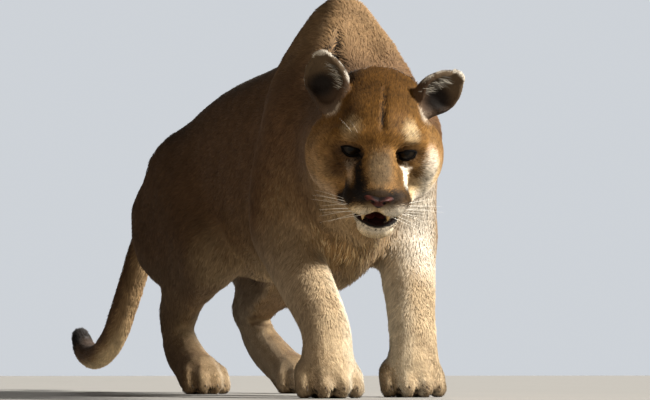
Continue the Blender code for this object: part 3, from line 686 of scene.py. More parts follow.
def grow_fields(points, normals, owner, web):
    """Coat depth, tuft length, width and number, lie of the hair, and each node's share."""
    rows = [coat_row(name) for name in FLESH]
    sizes = np.array([row[:4] for row in rows], float)[owner]
    lie = unit(np.array([row[4] for row in rows], float))[owner]
    names = np.array(FLESH)[owner]
    h = to_head(points)
    on_head = np.isin(names, ("head", "jaw"))
    from_nose = unit(h - np.array((0, -84, -26)) + np.array((0, 10, 0)))
    for side in (1, -1):
        away = h - eye_place(side)
        near = step(27, 17, np.linalg.norm(away, axis=1))[:, None]
        away[:, 1] = 0
        from_nose = unit(from_nose * (1 - near) + unit(away) * near)
    lie[on_head] = turn_from_head(from_nose)[on_head]
    on_torso = names == "torso"
    # finer ahead, where the coat is seen from near by
    body = ~(on_head | is_ear(names) | is_paw(names))
    ahead = step(-0.05, -0.40, points[:, 1])
    sizes[:, 3] *= np.where(body, 0.72 + 0.52 * ahead, 1)
    sizes[:, 2] *= np.where(body, 1.12 - 0.22 * ahead, 1)
    under = on_torso * step(-0.25, -0.75, normals[:, 2])
    low = step(0.38, 0.28, points[:, 2]) * (on_torso | (names == "neck"))
    low = np.maximum(low, breast(points)) * step(0.0, -0.6, normals[:, 1])
    long = np.maximum(under, low)
    cheek = on_head * blob(mirrored(h), (78, 62, -46), (24, 34, 34))
    for k, (belly, ruff) in enumerate(((10.0, 5.5), (34.0, 18.0), (2.3, 1.5), (8.0, 26.0))):
        sizes[:, k] += (belly - sizes[:, k]) * long
        sizes[:, k] += (ruff - sizes[:, k]) * cheek
    muzzle = blob(mirrored(h), (0, -62, -34), (44, 44, 44))
    muzzle = on_head * np.maximum(muzzle, blob(h, (0, -50, -86), (34, 34, 14)))
    for k, value in enumerate((1.2, 4.0, 0.85, 70)):
        sizes[:, k] += (value - sizes[:, k]) * muzzle
    share = {
        "head": on_head,
        "ear": is_ear(names),
        "neck": names == "neck",
        "torso": on_torso,
        "tail": np.char.startswith(names, "tail"),
        "paw": is_paw(names),
    }
    share["limb"] = ~sum(share.values()).astype(bool)
    share = {k: v.astype(float) for k, v in share.items()}
    share = {k: v if k == "ear" else web.ease(v, ROUNDS["share"]) for k, v in share.items()}
    total = sum(share.values())
    share = {k: v / total for k, v in share.items()}
    sizes = web.ease(sizes, ROUNDS["sizes"], np.where(on_head | (share["ear"] > 0), 0.15, 0.5))
    return sizes, unit(web.ease(lie, ROUNDS["lie"])), share


def carve_face(points):
    """Folds of the face: the crease of the forehead, the groove of the lip and the pads' edges."""
    h = to_head(points)
    m = mirrored(h)
    push = -2.6 * parting(h, 36, 6, 6.5)
    push -= 2.0 * stroke(h, (0, -88, -50), (0, -86, -68), 3.5)
    push -= 1.6 * stroke(m, (20, -34, -22), (44, -22, -50), 6)
    push += 1.6 * blob(m, (24, -14, 16), (14, 12, 7))
    return points + outward_of(h) * (push * MM)[:, None]


def outward_of(h):
    """Directions away from the head's inner axis, for places near the face."""
    axis = np.array((0, 1, 0.15))
    rel = h - np.array((0, 0, -10))
    rel = rel - np.outer(rel @ axis, axis) * 0.7
    return turn_from_head(unit(rel))


def lid_edges(u):
    """Heights in millimetres of the upper and the lower edge of the eye's opening at u."""
    bow = np.clip(1 - (u / LIDS["half"]) ** 2, 0, 1)
    tilt = LIDS["slant"] * u / LIDS["half"]
    return tilt - 0.6 + LIDS["upper"] * bow**0.8, tilt - 0.6 - LIDS["lower"] * bow


def form_lids(h):
    """Wraps the skin round the eyeballs and leaves the openings between the lids."""
    for side in (1, -1):
        rel = h - eye_place(side)
        r = np.linalg.norm(rel, axis=1)
        near = (r < 27) & (rel[:, 1] < 3)
        d = rel[near] / r[near, None]
        u = d[:, 0] * EYE_RADIUS * side
        v = d[:, 2] * EYE_RADIUS
        top, bottom = lid_edges(u)
        inside = np.minimum(top - v, v - bottom)
        inside[np.abs(u) > LIDS["half"]] = -1
        open_share = step(-0.5, 0.5, inside)
        outer = np.maximum(r[near], EYE_RADIUS + 0.9 + 1.3 * step(0, -5, inside))
        new = outer * (1 - open_share) + (EYE_RADIUS - 2.5) * open_share
        h[near] = eye_place(side) + d * new[:, None]
    return h


def bare_places(h, n, share):
    """1 where no hair grows: eye openings, nose leather and inside the lips."""
    bare = share["head"] * mouth_places(h, n)[0]
    for side in (1, -1):
        rel = h - eye_place(side)
        r = np.maximum(np.linalg.norm(rel, axis=1), 1)
        u = rel[:, 0] / r * EYE_RADIUS * side
        v = rel[:, 2] / r * EYE_RADIUS
        top, bottom = lid_edges(u)
        gap = np.maximum(v - top, bottom - v)
        gap = np.where(np.abs(u) > LIDS["half"], np.maximum(gap, np.abs(u) - LIDS["half"]), gap)
        bare = np.maximum(bare, step(2.2, 1.4, gap) * (r < 19) * (rel[:, 1] < 0))
    leather = blob(h, NOSE_PLACE, (19.5, 15, 12), 0.1)
    return np.maximum(bare, leather)


# Registered pieces follow: sizes, operators and the panel


class CougarCoat(bpy.types.PropertyGroup):
    fineness: FloatProperty(
        name="Skin fineness", description="Voxel size of the skin before it is thinned out",
        default=0.0025, min=0.001, unit="LENGTH",
    )
    triangles: IntProperty(
        name="Skin triangles", description="Triangles left in the skin", default=150000, min=1000
    )
    density: FloatProperty(
        name="Tufts", description="Number of tufts as a share of the full coat", default=1.0, min=0.01
    )
    length: FloatProperty(
        name="Hair length", description="Length of the hair as a share of life", default=1.0, min=0.1
    )
    variation: FloatProperty(
        name="Colour variation", description="How much tufts differ in brightness",
        default=0.2, subtype="FACTOR",
    )


class CougarFace(bpy.types.PropertyGroup):
    # the iris is darker than the cougar's own amber: painted shade of the brow and lids
    iris: FloatVectorProperty(
        name="Iris", description="Colour of the iris", default=linear("#170f06"), subtype="COLOR"
    )
    leather: FloatVectorProperty(
        name="Nose leather", description="Colour of the nose leather",
        default=linear("#47211a"), subtype="COLOR",
    )
    whisker_length: FloatProperty(
        name="Whisker length", description="Length of the longest whiskers", default=0.084, unit="LENGTH"
    )


class CougarStage(bpy.types.PropertyGroup):
    key_power: FloatProperty(
        name="Key light", description="Strength of the main light", default=9.5, min=0
    )
    fill_power: FloatProperty(
        name="Fill light", description="Power of the fill light in watts", default=1.1, min=0
    )
    back_power: FloatProperty(
        name="Back light", description="Strength of the light from behind", default=0.9, min=0
    )
    ambient: FloatProperty(
        name="Room light", description="Strength of the light from all sides", default=0.09, min=0
    )
    floor: FloatVectorProperty(
        name="Floor", description="Colour of the floor", default=linear("#95928d"), subtype="COLOR"
    )


# Materials


def per_metre(size):
    """Scale of a pattern whose features are size millimetres wide."""
    return 1000.0 / size


def underfur_material():
    """Short dense underfur on skin: matt, with a ripple that breaks up the light."""
    # its hairs, 0.02 mm thick, are too fine to show, so the ripple is drawn 2.4 mm wide
    return new_material(
        "underfur",
        ("place", "TexCoord", {}),
        ("tone", "Attribute", {"attribute_name": "coat"}),
        ("fine", "TexNoise", {
            "Vector": "place.Object", "Scale": per_metre(2.381), "Detail": 3.0, "Roughness": 0.6,
        }),
        ("spread", "MapRange", {"Value": "fine.Fac", "To Min": 0.75, "To Max": 1.0}),
        ("tinted", "HueSaturation", {"Color": "tone.Color", "Value": "spread.Result"}),
        ("bump", "Bump", {"Height": "fine.Fac", "Strength": 0.5, "Distance": 0.0015}),
        ("shader", "BsdfPrincipled", {
            "Base Color": "tinted.Color", "Normal": "bump.Normal",
            "Roughness": 0.8, "Specular IOR Level": 0.2,
        }),
    )


def guard_hair_material():
    """Guard hair of a short coat: a soft, slightly silky finish with a pale sheen."""
    return new_material(
        "guard_hair",
        ("tone", "Attribute", {"attribute_name": "coat"}),
        ("shader", "BsdfPrincipled", {
            "Base Color": "tone.Color", "Roughness": 0.6, "Specular IOR Level": 0.07,
            "Sheen Weight": 0.03, "Sheen Roughness": 0.5,
        }),
    )


def eye_material(iris):
    """A wet eyeball: round pupil, fibrous iris darkened almost to black as painted shade of the brow,
    dark rim and brown white under a clear coat.
    """
    material = new_material(
        "wet_eye",
        ("angle", "Attribute", {"attribute_name": "gaze"}),
        # fibres 1.6 mm wide at the iris's rim, 38 of them round the unit circle they are read from
        ("spokes", "Attribute", {"attribute_name": "spokes"}),
        ("fibres", "TexNoise", {"Vector": "spokes.Vector", "Scale": 6.0, "Detail": 4.0}),
        ("ramp", "ValToRGB", {"Fac": "angle.Fac"}),
        ("spread", "MapRange", {"Value": "fibres.Fac", "To Min": 0.45, "To Max": 1.3}),
        ("tinted", "HueSaturation", {"Color": "ramp.Color", "Value": "spread.Result"}),
        ("shader", "BsdfPrincipled", {
            "Base Color": "tinted.Color", "Roughness": 0.35, "Specular IOR Level": 0.1,
            "Coat Weight": 0.12, "Coat Roughness": 0.04,
        }),
    )
    stops = (
        (0.0, linear("#050403")), (0.17, linear("#050403")), (0.19, linear("#1e150a")), (0.30, iris),
        (0.46, linear("#130d06")), (0.52, linear("#120c06")), (0.62, linear("#2a1b12")),
        (1.0, linear("#1a100b")),
    )
    elements = material.node_tree.nodes["ramp"].color_ramp.elements
    for place, colour in stops:
        end = {0.0: 0, 1.0: -1}.get(place)
        element = elements.new(place) if end is None else elements[end]
        element.color = (*colour, 1)
    return material


def mottled(colour, size, detail, low, high):
    """Rows of nodes for a colour, given as a value or a link, with clouds size millimetres wide."""
    return (
        ("place", "TexCoord", {}),
        ("cloud", "TexNoise", {"Vector": "place.Object", "Scale": per_metre(size), "Detail": detail}),
        ("spread", "MapRange", {"Value": "cloud.Fac", "To Min": low, "To Max": high}),
        ("tinted", "HueSaturation", {"Color": colour, "Value": "spread.Result"}),
    )


def leather_material(name, colour, pebble, relief, finish, cloud=(6.25, 0.6), before=()):
    """Bare skin with pebbles of a size in millimetres, and with relief of a strength and a depth.

    cloud is the size of its darker clouds and how dark they are.
    """
    return new_material(
        name,
        *before,
        *mottled(colour, cloud[0], 4.0, cloud[1], 1.25),
        ("cells", "TexVoronoi", {"Vector": "place.Object", "Scale": per_metre(pebble)}),
        ("bump", "Bump", {"Height": "cells.Distance", "Strength": relief[0], "Distance": relief[1]}),
        ("shader", "BsdfPrincipled", {"Base Color": "tinted.Color", "Normal": "bump.Normal", **finish}),
    )


def keratin_material(name, low, high, size, detail, finish):
    """Horn, hair or enamel that wanders between two tones, in streaks size millimetres wide."""
    return new_material(
        name,
        ("place", "TexCoord", {}),
        ("cloud", "TexNoise", {"Vector": "place.Object", "Scale": per_metre(size), "Detail": detail}),
        ("tone", "Mix", {
            "data_type": "RGBA", "A": (*linear(low), 1), "B": (*linear(high), 1), "Factor": "cloud.Fac",
        }),
        ("shader", "BsdfPrincipled", {"Base Color": "tone.Result", **finish}),
    )


# Operators


KNEES = ((0.145, -0.055, 0.190), (-0.045, 0.035, 0.190))  # soft folds of skin in front of them
INSET = 0.7  # how far into the coat's depth the skin lies
TOE_DEPTH = 0.006  # of the clefts between the toes
FOLD_DEPTH = 0.008  # of the fold between the shoulder blades
SKIN_FLOOR, TUFT_FLOOR = 0.0005, 0.0003  # lowest heights of skin and tufts over the floor


class COUGAR_OT_skin(bpy.types.Operator):
    """Makes one skin that replaces the flesh solids and lies inside them by the coat's depth"""

    bl_idname = "cougar.skin"
    bl_label = "Skin"

    def execute(self, context):
        sizes = context.scene.cougar_coat
        skin = flesh_solid(sizes.fineness)
        mesh = skin.data
        points = get_points(mesh)
        m = mirrored(to_head(points))
        face = blob(m, (0, 0, -20), (86, 105, 110), 0.2)
        ears = blob(m, (76, 66, 52), (44, 44, 52), 0.2)
        paws = step(0.13, 0.09, points[:, 2]) * 0.5 * (points[:, 1] < 0.3)
        keep = np.maximum.reduce([face, ears, paws])
        thin_out(skin, keep, sizes.triangles / (2.0 * len(mesh.polygons)))
        web = Web(mesh)
        points = get_points(mesh)
        owner = nearest_nodes(points)
        names = np.array(FLESH)[owner]
        fine = np.isin(names, ("head", "jaw")) | is_ear(names) | is_paw(names)
        points = web.ease(points, ROUNDS["skin"], np.where(fine, 0.12, 0.5), 0.98)
        for knee in KNEES:
            soft = blob(points, knee, (0.06, 0.055, 0.055), 0.8) * 0.5
            points = web.ease(points, ROUNDS["knee"], soft)
        set_points(mesh, points)
        normals = get_normals(mesh)
        grown, lie, share = grow_fields(points, normals, owner, web)
        inward = -unit(web.ease(normals, ROUNDS["inset"]))
        points = points + inward * (grown[:, 0] * INSET * MM)[:, None]
        carved = toe_gaps(points) * TOE_DEPTH + blade_fold(points) * FOLD_DEPTH
        points = points + inward * carved[:, None]
        points[:, 2] = np.maximum(points[:, 2], SKIN_FLOOR)
        points = carve_face(points)
        points = from_head(form_lids(to_head(points)))
        set_points(mesh, points)
        normals = get_normals(mesh)
        store_coat(mesh, coat_colour(points, normals, share))
        finish_piece(skin, "skin", underfur_material(), "coat", *FLESH)
        bare = bare_places(to_head(points), turn_to_head(normals), share)
        work.update(
            points=points, normals=normals, owner=owner, sizes=grown, lie=lie, share=share,
            bare=np.maximum(bare, blade_fold(points) * 0.85), triangles=get_triangles(mesh),
        )
        return {"FINISHED"}


# The coat

LEGS = {"foreleg": ("upper_arm", "forearm", "forepaw"), "hind_leg": ("thigh", "shank", "hindpaw")}
REGIONS = {
    "face": ("head",),
    "crown": ("head", "ear_left", "ear_right"),
    "chin": ("jaw",),
    "neck": ("neck",),
    "trunk": ("torso",),
    **{f"{k}_{side}": [f"{n}_{side}" for n in v] for k, v in LEGS.items() for _, side in SIDES},
    "tail": ("tail_root", "tail_upper", "tail_lower", "tail_tip"),
}
PIECE_TUFTS = 32000  # most tufts in one piece of the coat; half as many where they are long
LONG = 0.0235  # tufts longer than this have more rings, and droop
FACE_BACK = 26  # where on the head the pieces of face and crown meet, in millimetres
DROOP = 0.25  # how far the tips of long tufts sink, as a share of their length
LENGTHS, WIDTHS = (0.75, 1.2), (0.8, 1.25)  # least and greatest, as shares of the coat's own
RISES = (0.28, 0.55)  # how far tufts stand up, as shares of the coat's depth
TONE_RANGE = (0.45, 1.7)  # least and greatest brightness of a tuft
EAR_HAIRS = 90  # in each ear
PATCH = 0.003  # width of a tuft's patch on the unwrapped coat
SOFTNESS = 0.8  # how much a tuft is lit as the skin under it is


def ripple(points, size, seed):
    """A smooth random value about 0 whose waves are about size metres long."""
    rng = np.random.default_rng(seed)
    out = np.zeros(len(points))
    for _ in range(5):
        way = unit(rng.normal(size=3)) * 2 * math.pi / (size * rng.uniform(0.6, 1.6))
        out += np.sin(points @ way + rng.uniform(0, 6.28))
    return out / 2.2


def scatter(density, rng):
    """Roots of tufts over the skin: triangles, and the weights of their corners."""
    tri = work["triangles"]
    a, b, c = (work["points"][tri[:, k]] for k in range(3))
    area = np.linalg.norm(np.cross(b - a, c - a), axis=1) / 2
    number = area * density[tri].mean(axis=1)
    total = np.cumsum(number)
    picks = (np.arange(int(total[-1])) + rng.random(int(total[-1]))) * (total[-1] / int(total[-1]))
    chosen = np.minimum(np.searchsorted(total, picks), len(tri) - 1)
    first, second = rng.random((2, len(chosen)))
    fold = first + second > 1
    first[fold], second[fold] = 1 - first[fold], 1 - second[fold]
    return chosen, np.stack((1 - first - second, first, second), axis=1)


def blend_at(values, chosen, weights):
    """A point value of the skin at the roots of the tufts."""
    corners = values[work["triangles"][chosen]]
    shape = weights.shape + (1,) * (values.ndim - 1)
    return (corners * weights.reshape(shape)).sum(axis=1)


def tuft_rows(long):
    """Where the rings of a tuft sit along it and how wide each is."""
    return ((0.30, 0.95), (0.66, 0.80)) if long else ((0.40, 1.0),)


def tuft_faces(rings):
    """Triangles of one closed tuft: a root point, rings of three points and a tip."""
    faces = [(1, 2, 0), (2, 3, 0), (3, 1, 0)]
    for ring in range(rings - 1):
        low = 1 + 3 * ring
        for k in range(3):
            i, j = low + k, low + (k + 1) % 3
            faces += [(j, i, i + 3), (j, i + 3, j + 3)]
    low, tip = 3 * rings - 2, 3 * rings + 1
    faces += [(low + (k + 1) % 3, low + k, tip) for k in range(3)]
    return np.array(faces)


def tuft_mesh(name, at, along, up, length, width, rise, colour, long, droop=0.0):
    """One mesh of many tufts. Every array has a row for each tuft; lengths are in metres."""
    rows = tuft_rows(long)
    side = np.cross(along, up)
    down = np.array((0, 0, -1.0))

    def spine(t):
        lift = rise * (1 - (1 - t) ** 2) - 0.0005 * (1 - t)
        sag = droop * length * t * t
        return at + along * (length * t)[:, None] + up * lift[:, None] + down * sag[:, None]

    def ones(value):
        return np.full(len(at), value)

    # painted shade: each tuft is darker at its root, down among the others, and on its sides than on its
    # top; its tip is lighter
    layers, shades, spots = [spine(ones(0.0))], [0.84], [(0, -0.5)]
    for place, share in rows:
        centre = spine(ones(place))
        half = (width * share / 2)[:, None]
        layers += [centre + side * half, centre + up * half * 0.6, centre - side * half]
        shades += [0.92, 1.0, 0.92]
        spots += [(0.5, place - 0.5), (0.0, place - 0.5), (-0.5, place - 0.5)]
    layers.append(spine(ones(1.0)))
    shades.append(1.12)
    spots.append((0, 0.5))
    count = len(layers)
    points = np.stack(layers, axis=1).reshape(-1, 3)
    points[:, 2] = np.maximum(points[:, 2], TUFT_FLOOR)
    colours = (colour[:, None, :] * np.array(shades)[None, :, None]).reshape(-1, 3)
    base = tuft_faces(len(rows))
    faces = (base[None] + (np.arange(len(at)) * count)[:, None, None]).reshape(-1, 3)
    mesh = bpy.data.meshes.new(name)
    mesh.vertices.add(len(points))
    mesh.loops.add(faces.size)
    mesh.polygons.add(len(faces))
    mesh.vertices.foreach_set("co", flat(points))
    mesh.loops.foreach_set("vertex_index", flat(faces, np.int32))
    mesh.polygons.foreach_set("loop_start", np.arange(0, faces.size, 3, dtype=np.int32))
    mesh.update(calc_edges=True)
    store_coat(mesh, colours)
    corner = np.array(spots)[base.ravel()] * PATCH
    layer = mesh.uv_layers.new(name="OFBake")
    layer.data.foreach_set("uv", flat(unwrap(at)[:, None, :] + corner[None]))
    mesh.shade_smooth()
    own = get_normals(mesh).reshape(len(at), count, 3)
    soft = unit(own * (1 - SOFTNESS) + up[:, None, :] * SOFTNESS)
    mesh.normals_split_custom_set_from_vertices(soft.reshape(-1, 3))
    return mesh


def unwrap(at):
    """Places on a square for points round a rounded form: turn about its long axis, and height."""
    rel = at - at.mean(axis=0)
    _, axes = np.linalg.eigh(rel.T @ rel)
    along = rel @ axes[:, 2]
    turn = np.arctan2(rel @ axes[:, 1], rel @ axes[:, 0]) / (2 * math.pi) + 0.5
    height = (along - along.min()) / max(np.ptp(along), 1e-6)
    return np.stack((turn, height), axis=1) * (1 - 3 * PATCH) + 1.5 * PATCH


def grow_tufts(sizes):
    """Roots, directions and sizes of all tufts of the coat."""
    rng = np.random.default_rng(SEED)
    grown = work["sizes"]
    density = grown[:, 3] * 1e4 * (1 - work["bare"]) * sizes.density
    chosen, weights = scatter(density, rng)
    at = blend_at(work["points"], chosen, weights)
    up = unit(blend_at(work["normals"], chosen, weights))
    own = blend_at(grown, chosen, weights)
    along = blend_at(work["lie"], chosen, weights)
    along += up * 0.02 + rng.normal(size=at.shape) * 0.13
    side = np.cross(along, up)
    along += side * (ripple(at, 0.05, 3) * 0.22 + ripple(at, 0.014, 4) * 0.22)[:, None]
    along = unit(along - up * np.sum(along * up, axis=1)[:, None])
    length = own[:, 1] * MM * rng.uniform(*LENGTHS, len(at)) * sizes.length
    width = own[:, 2] * MM * rng.uniform(*WIDTHS, len(at))
    rise = own[:, 0] * MM * rng.uniform(*RISES, len(at))
    share = {k: blend_at(v, chosen, weights) for k, v in work["share"].items()}
    # hairs of one marking stray into the next
    reach = 0.0060 - 0.0047 * share["head"] - 0.0052 * share["ear"]
    colour = coat_colour(at + rng.normal(size=at.shape) * reach[:, None], up, share)
    clumps = ripple(at, 0.009, 5) * 0.5 + ripple(at, 0.022, 6) * 0.45 + ripple(at, 0.07, 8) * 0.3
    shaggy = step(16, 28, own[:, 1])
    uneven = sizes.variation * (1 + 0.6 * share["head"] + 0.8 * shaggy)
    tone = 1 + uneven * (rng.normal(size=len(at)) * 0.6 + clumps)
    colour = colour * np.clip(tone, *TONE_RANGE)[:, None]
    names = np.array(FLESH)[work["owner"][work["triangles"][chosen, 0]]]
    return at, along, up, length, width, rise, colour, names


def region_of(names, at):
    """Name of the coat's region for each tuft."""
    out = np.empty(len(names), dtype="U16")
    for region, nodes in REGIONS.items():
        out[np.isin(names, nodes)] = region
    front = (out == "crown") & (names == "head") & (to_head(at)[:, 1] < FACE_BACK)
    out[front] = "face"
    return out


class COUGAR_OT_coat(bpy.types.Operator):
    """Grows the short fur as solid tufts over the skin, in pieces for the regions of the body"""

    bl_idname = "cougar.coat"
    bl_label = "Coat"

    def execute(self, context):
        material = guard_hair_material()
        *tufts, names = grow_tufts(context.scene.cougar_coat)
        at, length = tufts[0], tufts[3]
        regions = region_of(names, at)
        for region in REGIONS:
            inside = np.flatnonzero(regions == region)
            for long in (False, True):
                own = inside[(length[inside] > LONG) == long]
                parts = math.ceil(len(own) / (PIECE_TUFTS // 2 if long else PIECE_TUFTS))
                order = own[np.argsort(at[own, 1])]
                for number, part in enumerate(np.array_split(order, parts) if parts else ()):
                    if len(part) < 4:
                        continue
                    kind = "long_coat" if long else "coat"
                    name = f"{kind}_{region}" + (f"_{number + 1}" if parts > 1 else "")
                    rows = [values[part] for values in tufts]
                    thing = new_thing(name, tuft_mesh(name, *rows, long, DROOP if long else 0.0))
                    finish_piece(thing, name, material, "chin_coat" if region == "chin" else "coat")
        return {"FINISHED"}


# Eyes, nose, mouth and whiskers


class COUGAR_OT_ear_hair(bpy.types.Operator):
    """Adds the long pale hair that sweeps across each ear's cup from its inner edge"""

    bl_idname = "cougar.ear_hair"
    bl_label = "Ear hair"

    def execute(self, context):
        rng = np.random.default_rng(SEED + 2)
        material = guard_hair_material()
        for side, label in SIDES:
            tall = rng.uniform(0, 1, EAR_HAIRS)
            inner = -27 + 8 * tall + rng.normal(size=EAR_HAIRS) * 2.2
            local = np.stack((inner, -7 + rng.normal(size=EAR_HAIRS), 2 + 40 * tall), axis=1)
            ways = np.stack((0.75 + 0.3 * tall, -0.22 - 0.1 * tall, 0.75 - 0.1 * tall), axis=1)
            ways += rng.normal(size=ways.shape) * 0.2
            ups = np.tile((0.1, -1.0, 0.2), (EAR_HAIRS, 1))
            local, ways, ups = (v * (side, 1, 1) @ ear_turn(side).T for v in (local, ways, ups))
            at = from_head(ear_place(side) + local)
            up = unit(turn_from_head(ups))
            along = unit(turn_from_head(ways))
            along = unit(along - up * np.sum(along * up, axis=1)[:, None])
            length = rng.uniform(9, 18, EAR_HAIRS) * MM
            tone = np.where(rng.random(EAR_HAIRS) < 0.3, 0.75, 0.22)[:, None]
            colour = plain("pale", at) * tone * rng.uniform(0.6, 1.0, (EAR_HAIRS, 1))
            width = np.full(EAR_HAIRS, 0.6 * MM)
            name = "ear_hair_" + label
            mesh = tuft_mesh(name, at, along, up, length, width, length * 0.18, colour, True, 0.1)
            finish_piece(new_thing(name, mesh), name, material, "coat")
        return {"FINISHED"}


class COUGAR_OT_claws(bpy.types.Operator):
    """Adds the tips of the claws that show at the toes"""

    bl_idname = "cougar.claws"
    bl_label = "Claws"

    def execute(self, context):
        model, d = new_spike(12, 0.15, 3)
        along = d[:, 2] + 0.5
        base = np.stack((d[:, 0] * 0.0017, -0.011 * along, -0.006 * along**2), axis=1)
        base[:, 2] += d[:, 1] * 0.0026
        copies = []
        for toe, heading, half, length in PAWS:
            for across, back in TOES:
                copies.append(twin_of(model))
                spot = np.array((across * half, back * length + 0.006, 0.017))
                set_points(copies[-1].data, (base + spot) @ paw_turn(heading).T + np.array((*toe, 0)))
        bpy.data.objects.remove(model)
        claws = join(copies)
        edit_mesh(bpy.ops.mesh.normals_make_consistent, inside=False)
        # claw horn: dark grey-brown keratin, polished by wear, with streaks along it
        horn = {"Roughness": 0.35, "IOR": 1.55}
        horn = keratin_material("claw_horn", "#2a211a", "#6b5a47", 1.4286, 2.0, horn)
        finish_piece(claws, "claws", horn, "tooth")
        return {"FINISHED"}


class COUGAR_OT_eyes(bpy.types.Operator):
    """Adds both eyeballs with their bulging corneas, and the dark rims of the lids"""

    bl_idname = "cougar.eyes"
    bl_label = "Eyes"

    def execute(self, context):
        face = context.scene.cougar_face
        material = eye_material(tuple(face.iris))
        for side, label in SIDES:
            ball, points = new_ball(64, 40)
            angle = np.arccos(np.clip(unit(points)[:, 2], -1, 1))
            bulge = 0.07 * np.clip(1 - (angle / math.radians(48)) ** 2, 0, 1)
            around = np.arctan2(points[:, 1], points[:, 0])
            spokes = np.stack((np.cos(around), np.sin(around), angle * 0.35), axis=1)
            points = points * (EYE_RADIUS * MM * (1 + bulge))[:, None]
            look = HEAD.to_3x3().normalized() @ Vector((side * 0.03 - 0.06, -1, 0.30)).normalized()
            turn = np.array(look.to_track_quat("Z", "Y").to_matrix())
            set_points(ball.data, points @ turn.T + from_head(eye_place(side)))
            store(ball.data, "gaze", "FLOAT", angle / (math.pi / 2))
            store(ball.data, "spokes", "FLOAT_VECTOR", spokes)
            finish_piece(ball, "eyeball_" + label, material, "eye", "eye_" + label)
        # rims of the lids: black skin, almost dry
        dry = {"Roughness": 0.85, "Specular IOR Level": 0.1}
        rims = leather_material("lid_skin", (*linear("#090605"), 1), 0.8, (0.6, 0.0002), dry)
        loops = []
        for side in (1, -1):
            turns = np.linspace(0, 2 * math.pi, 33)[:-1]
            u = LIDS["half"] * np.cos(turns)
            top, bottom = lid_edges(u)
            v = np.where(np.sin(turns) >= 0, top, bottom)
            d = np.stack((side * u / EYE_RADIUS, np.zeros(32), v / EYE_RADIUS), axis=1)
            d[:, 1] = -np.sqrt(np.clip(1 - d[:, 0] ** 2 - d[:, 2] ** 2, 0.05, 1))
            loops.append((eye_place(side) + unit(d) * (EYE_RADIUS + 0.7), np.full(32, 1.35)))
        rim = strands("lid_rims", loops, cyclic=True, sides=2)
        finish_piece(rim, "lid_rims", rims, "coat")
        return {"FINISHED"}


def strands(name, lines, cyclic=False, sides=1):
    """Round tapering strands through points on the head, each with its radii in millimetres."""
    curve = bpy.data.curves.new(name, "CURVE")
    curve.dimensions = "3D"
    curve.bevel_depth = MM
    curve.bevel_resolution = sides
    curve.use_fill_caps = True
    for points, radii in lines:
        spline = curve.splines.new("POLY")
        spline.points.add(len(points) - 1)
        for point, place, radius in zip(spline.points, from_head(points), radii):
            point.co = (*place, 1)
            point.radius = float(radius)
        spline.use_cyclic_u = cyclic
    activate(new_thing(name, curve))
    bpy.ops.object.convert(target="MESH")
    return bpy.context.object


class COUGAR_OT_nose(bpy.types.Operator):
    """Adds the nose leather, with its wings, nostrils and the groove below it"""

    bl_idname = "cougar.nose"
    bl_label = "Nose"

    def execute(self, context):
        pad, ball = new_ball(96, 64)
        x, y, z = unit(ball).T
        # a rounded triangle: wide at the top, narrow where it meets the groove
        half = 21.0 - 13.0 * step(0.25, -0.9, z)
        tall = np.where(z > 0, 3.4 + 4.0 * np.abs(x), 12.5)
        points = np.stack((x * half, y * 9.5, z * tall), axis=1)
        points[:, 1] += 3.0 * step(0.35, 1.0, np.abs(x)) - 0.10 * points[:, 2]
        left = mirrored(points)
        # nostrils: a round pit that runs out to the side in a slit
        pit = blob(left, (9.8, -9, -2.0), (4.6, 8, 3.4), 0.35)
        slit = stroke(left, (11, -8, -2.5), (19, -3, -5.0), 3.6)
        hollow = np.maximum(pit, slit * 0.75)
        points[:, 1] += 5.0 * hollow
        points[:, 1] -= 1.2 * blob(left, (9.5, -8, 5.0), (7.5, 9, 3.5), 0.6)
        points[:, 1] += 1.6 * stroke(points, (0, -10, 6), (0, -10, -14), 1.8)
        set_points(pad.data, from_head(points + np.array(NOSE_PLACE)))
        # dark: painted shade in the hollows of the nostrils, and the leather's own dark edges
        dark = np.clip(hollow * 1.2 + step(14, 20, np.abs(points[:, 0])) * 0.8, 0, 1)
        dark = np.maximum(dark, step(-1.5, 2.5, points[:, 2] - 0.35 * np.abs(points[:, 0])))
        dark = np.maximum(dark, step(-5, -9, points[:, 2]))
        store(pad.data, "dark", "FLOAT", dark)
        # nose leather: moist pebbled skin, brick red and dark at its edges, with painted shade in the
        # nostrils
        tone = (*context.scene.cougar_face.leather, 1)
        edges = {"data_type": "RGBA", "A": tone, "B": (*linear("#120c0a"), 1), "Factor": "dark.Fac"}
        before = (("dark", "Attribute", {"attribute_name": "dark"}), ("mixed", "Mix", edges))
        moist = {
            "Roughness": 0.55, "Specular IOR Level": 0.15, "Coat Weight": 0.04, "Coat Roughness": 0.3,
        }
        leather = leather_material(
            "nose_leather", "mixed.Result", 1.1, (0.7, 0.0005), moist, (7.6923, 0.65), before
        )
        finish_piece(pad, "nose_pad", leather, "nose_leather", "nose")
        return {"FINISHED"}


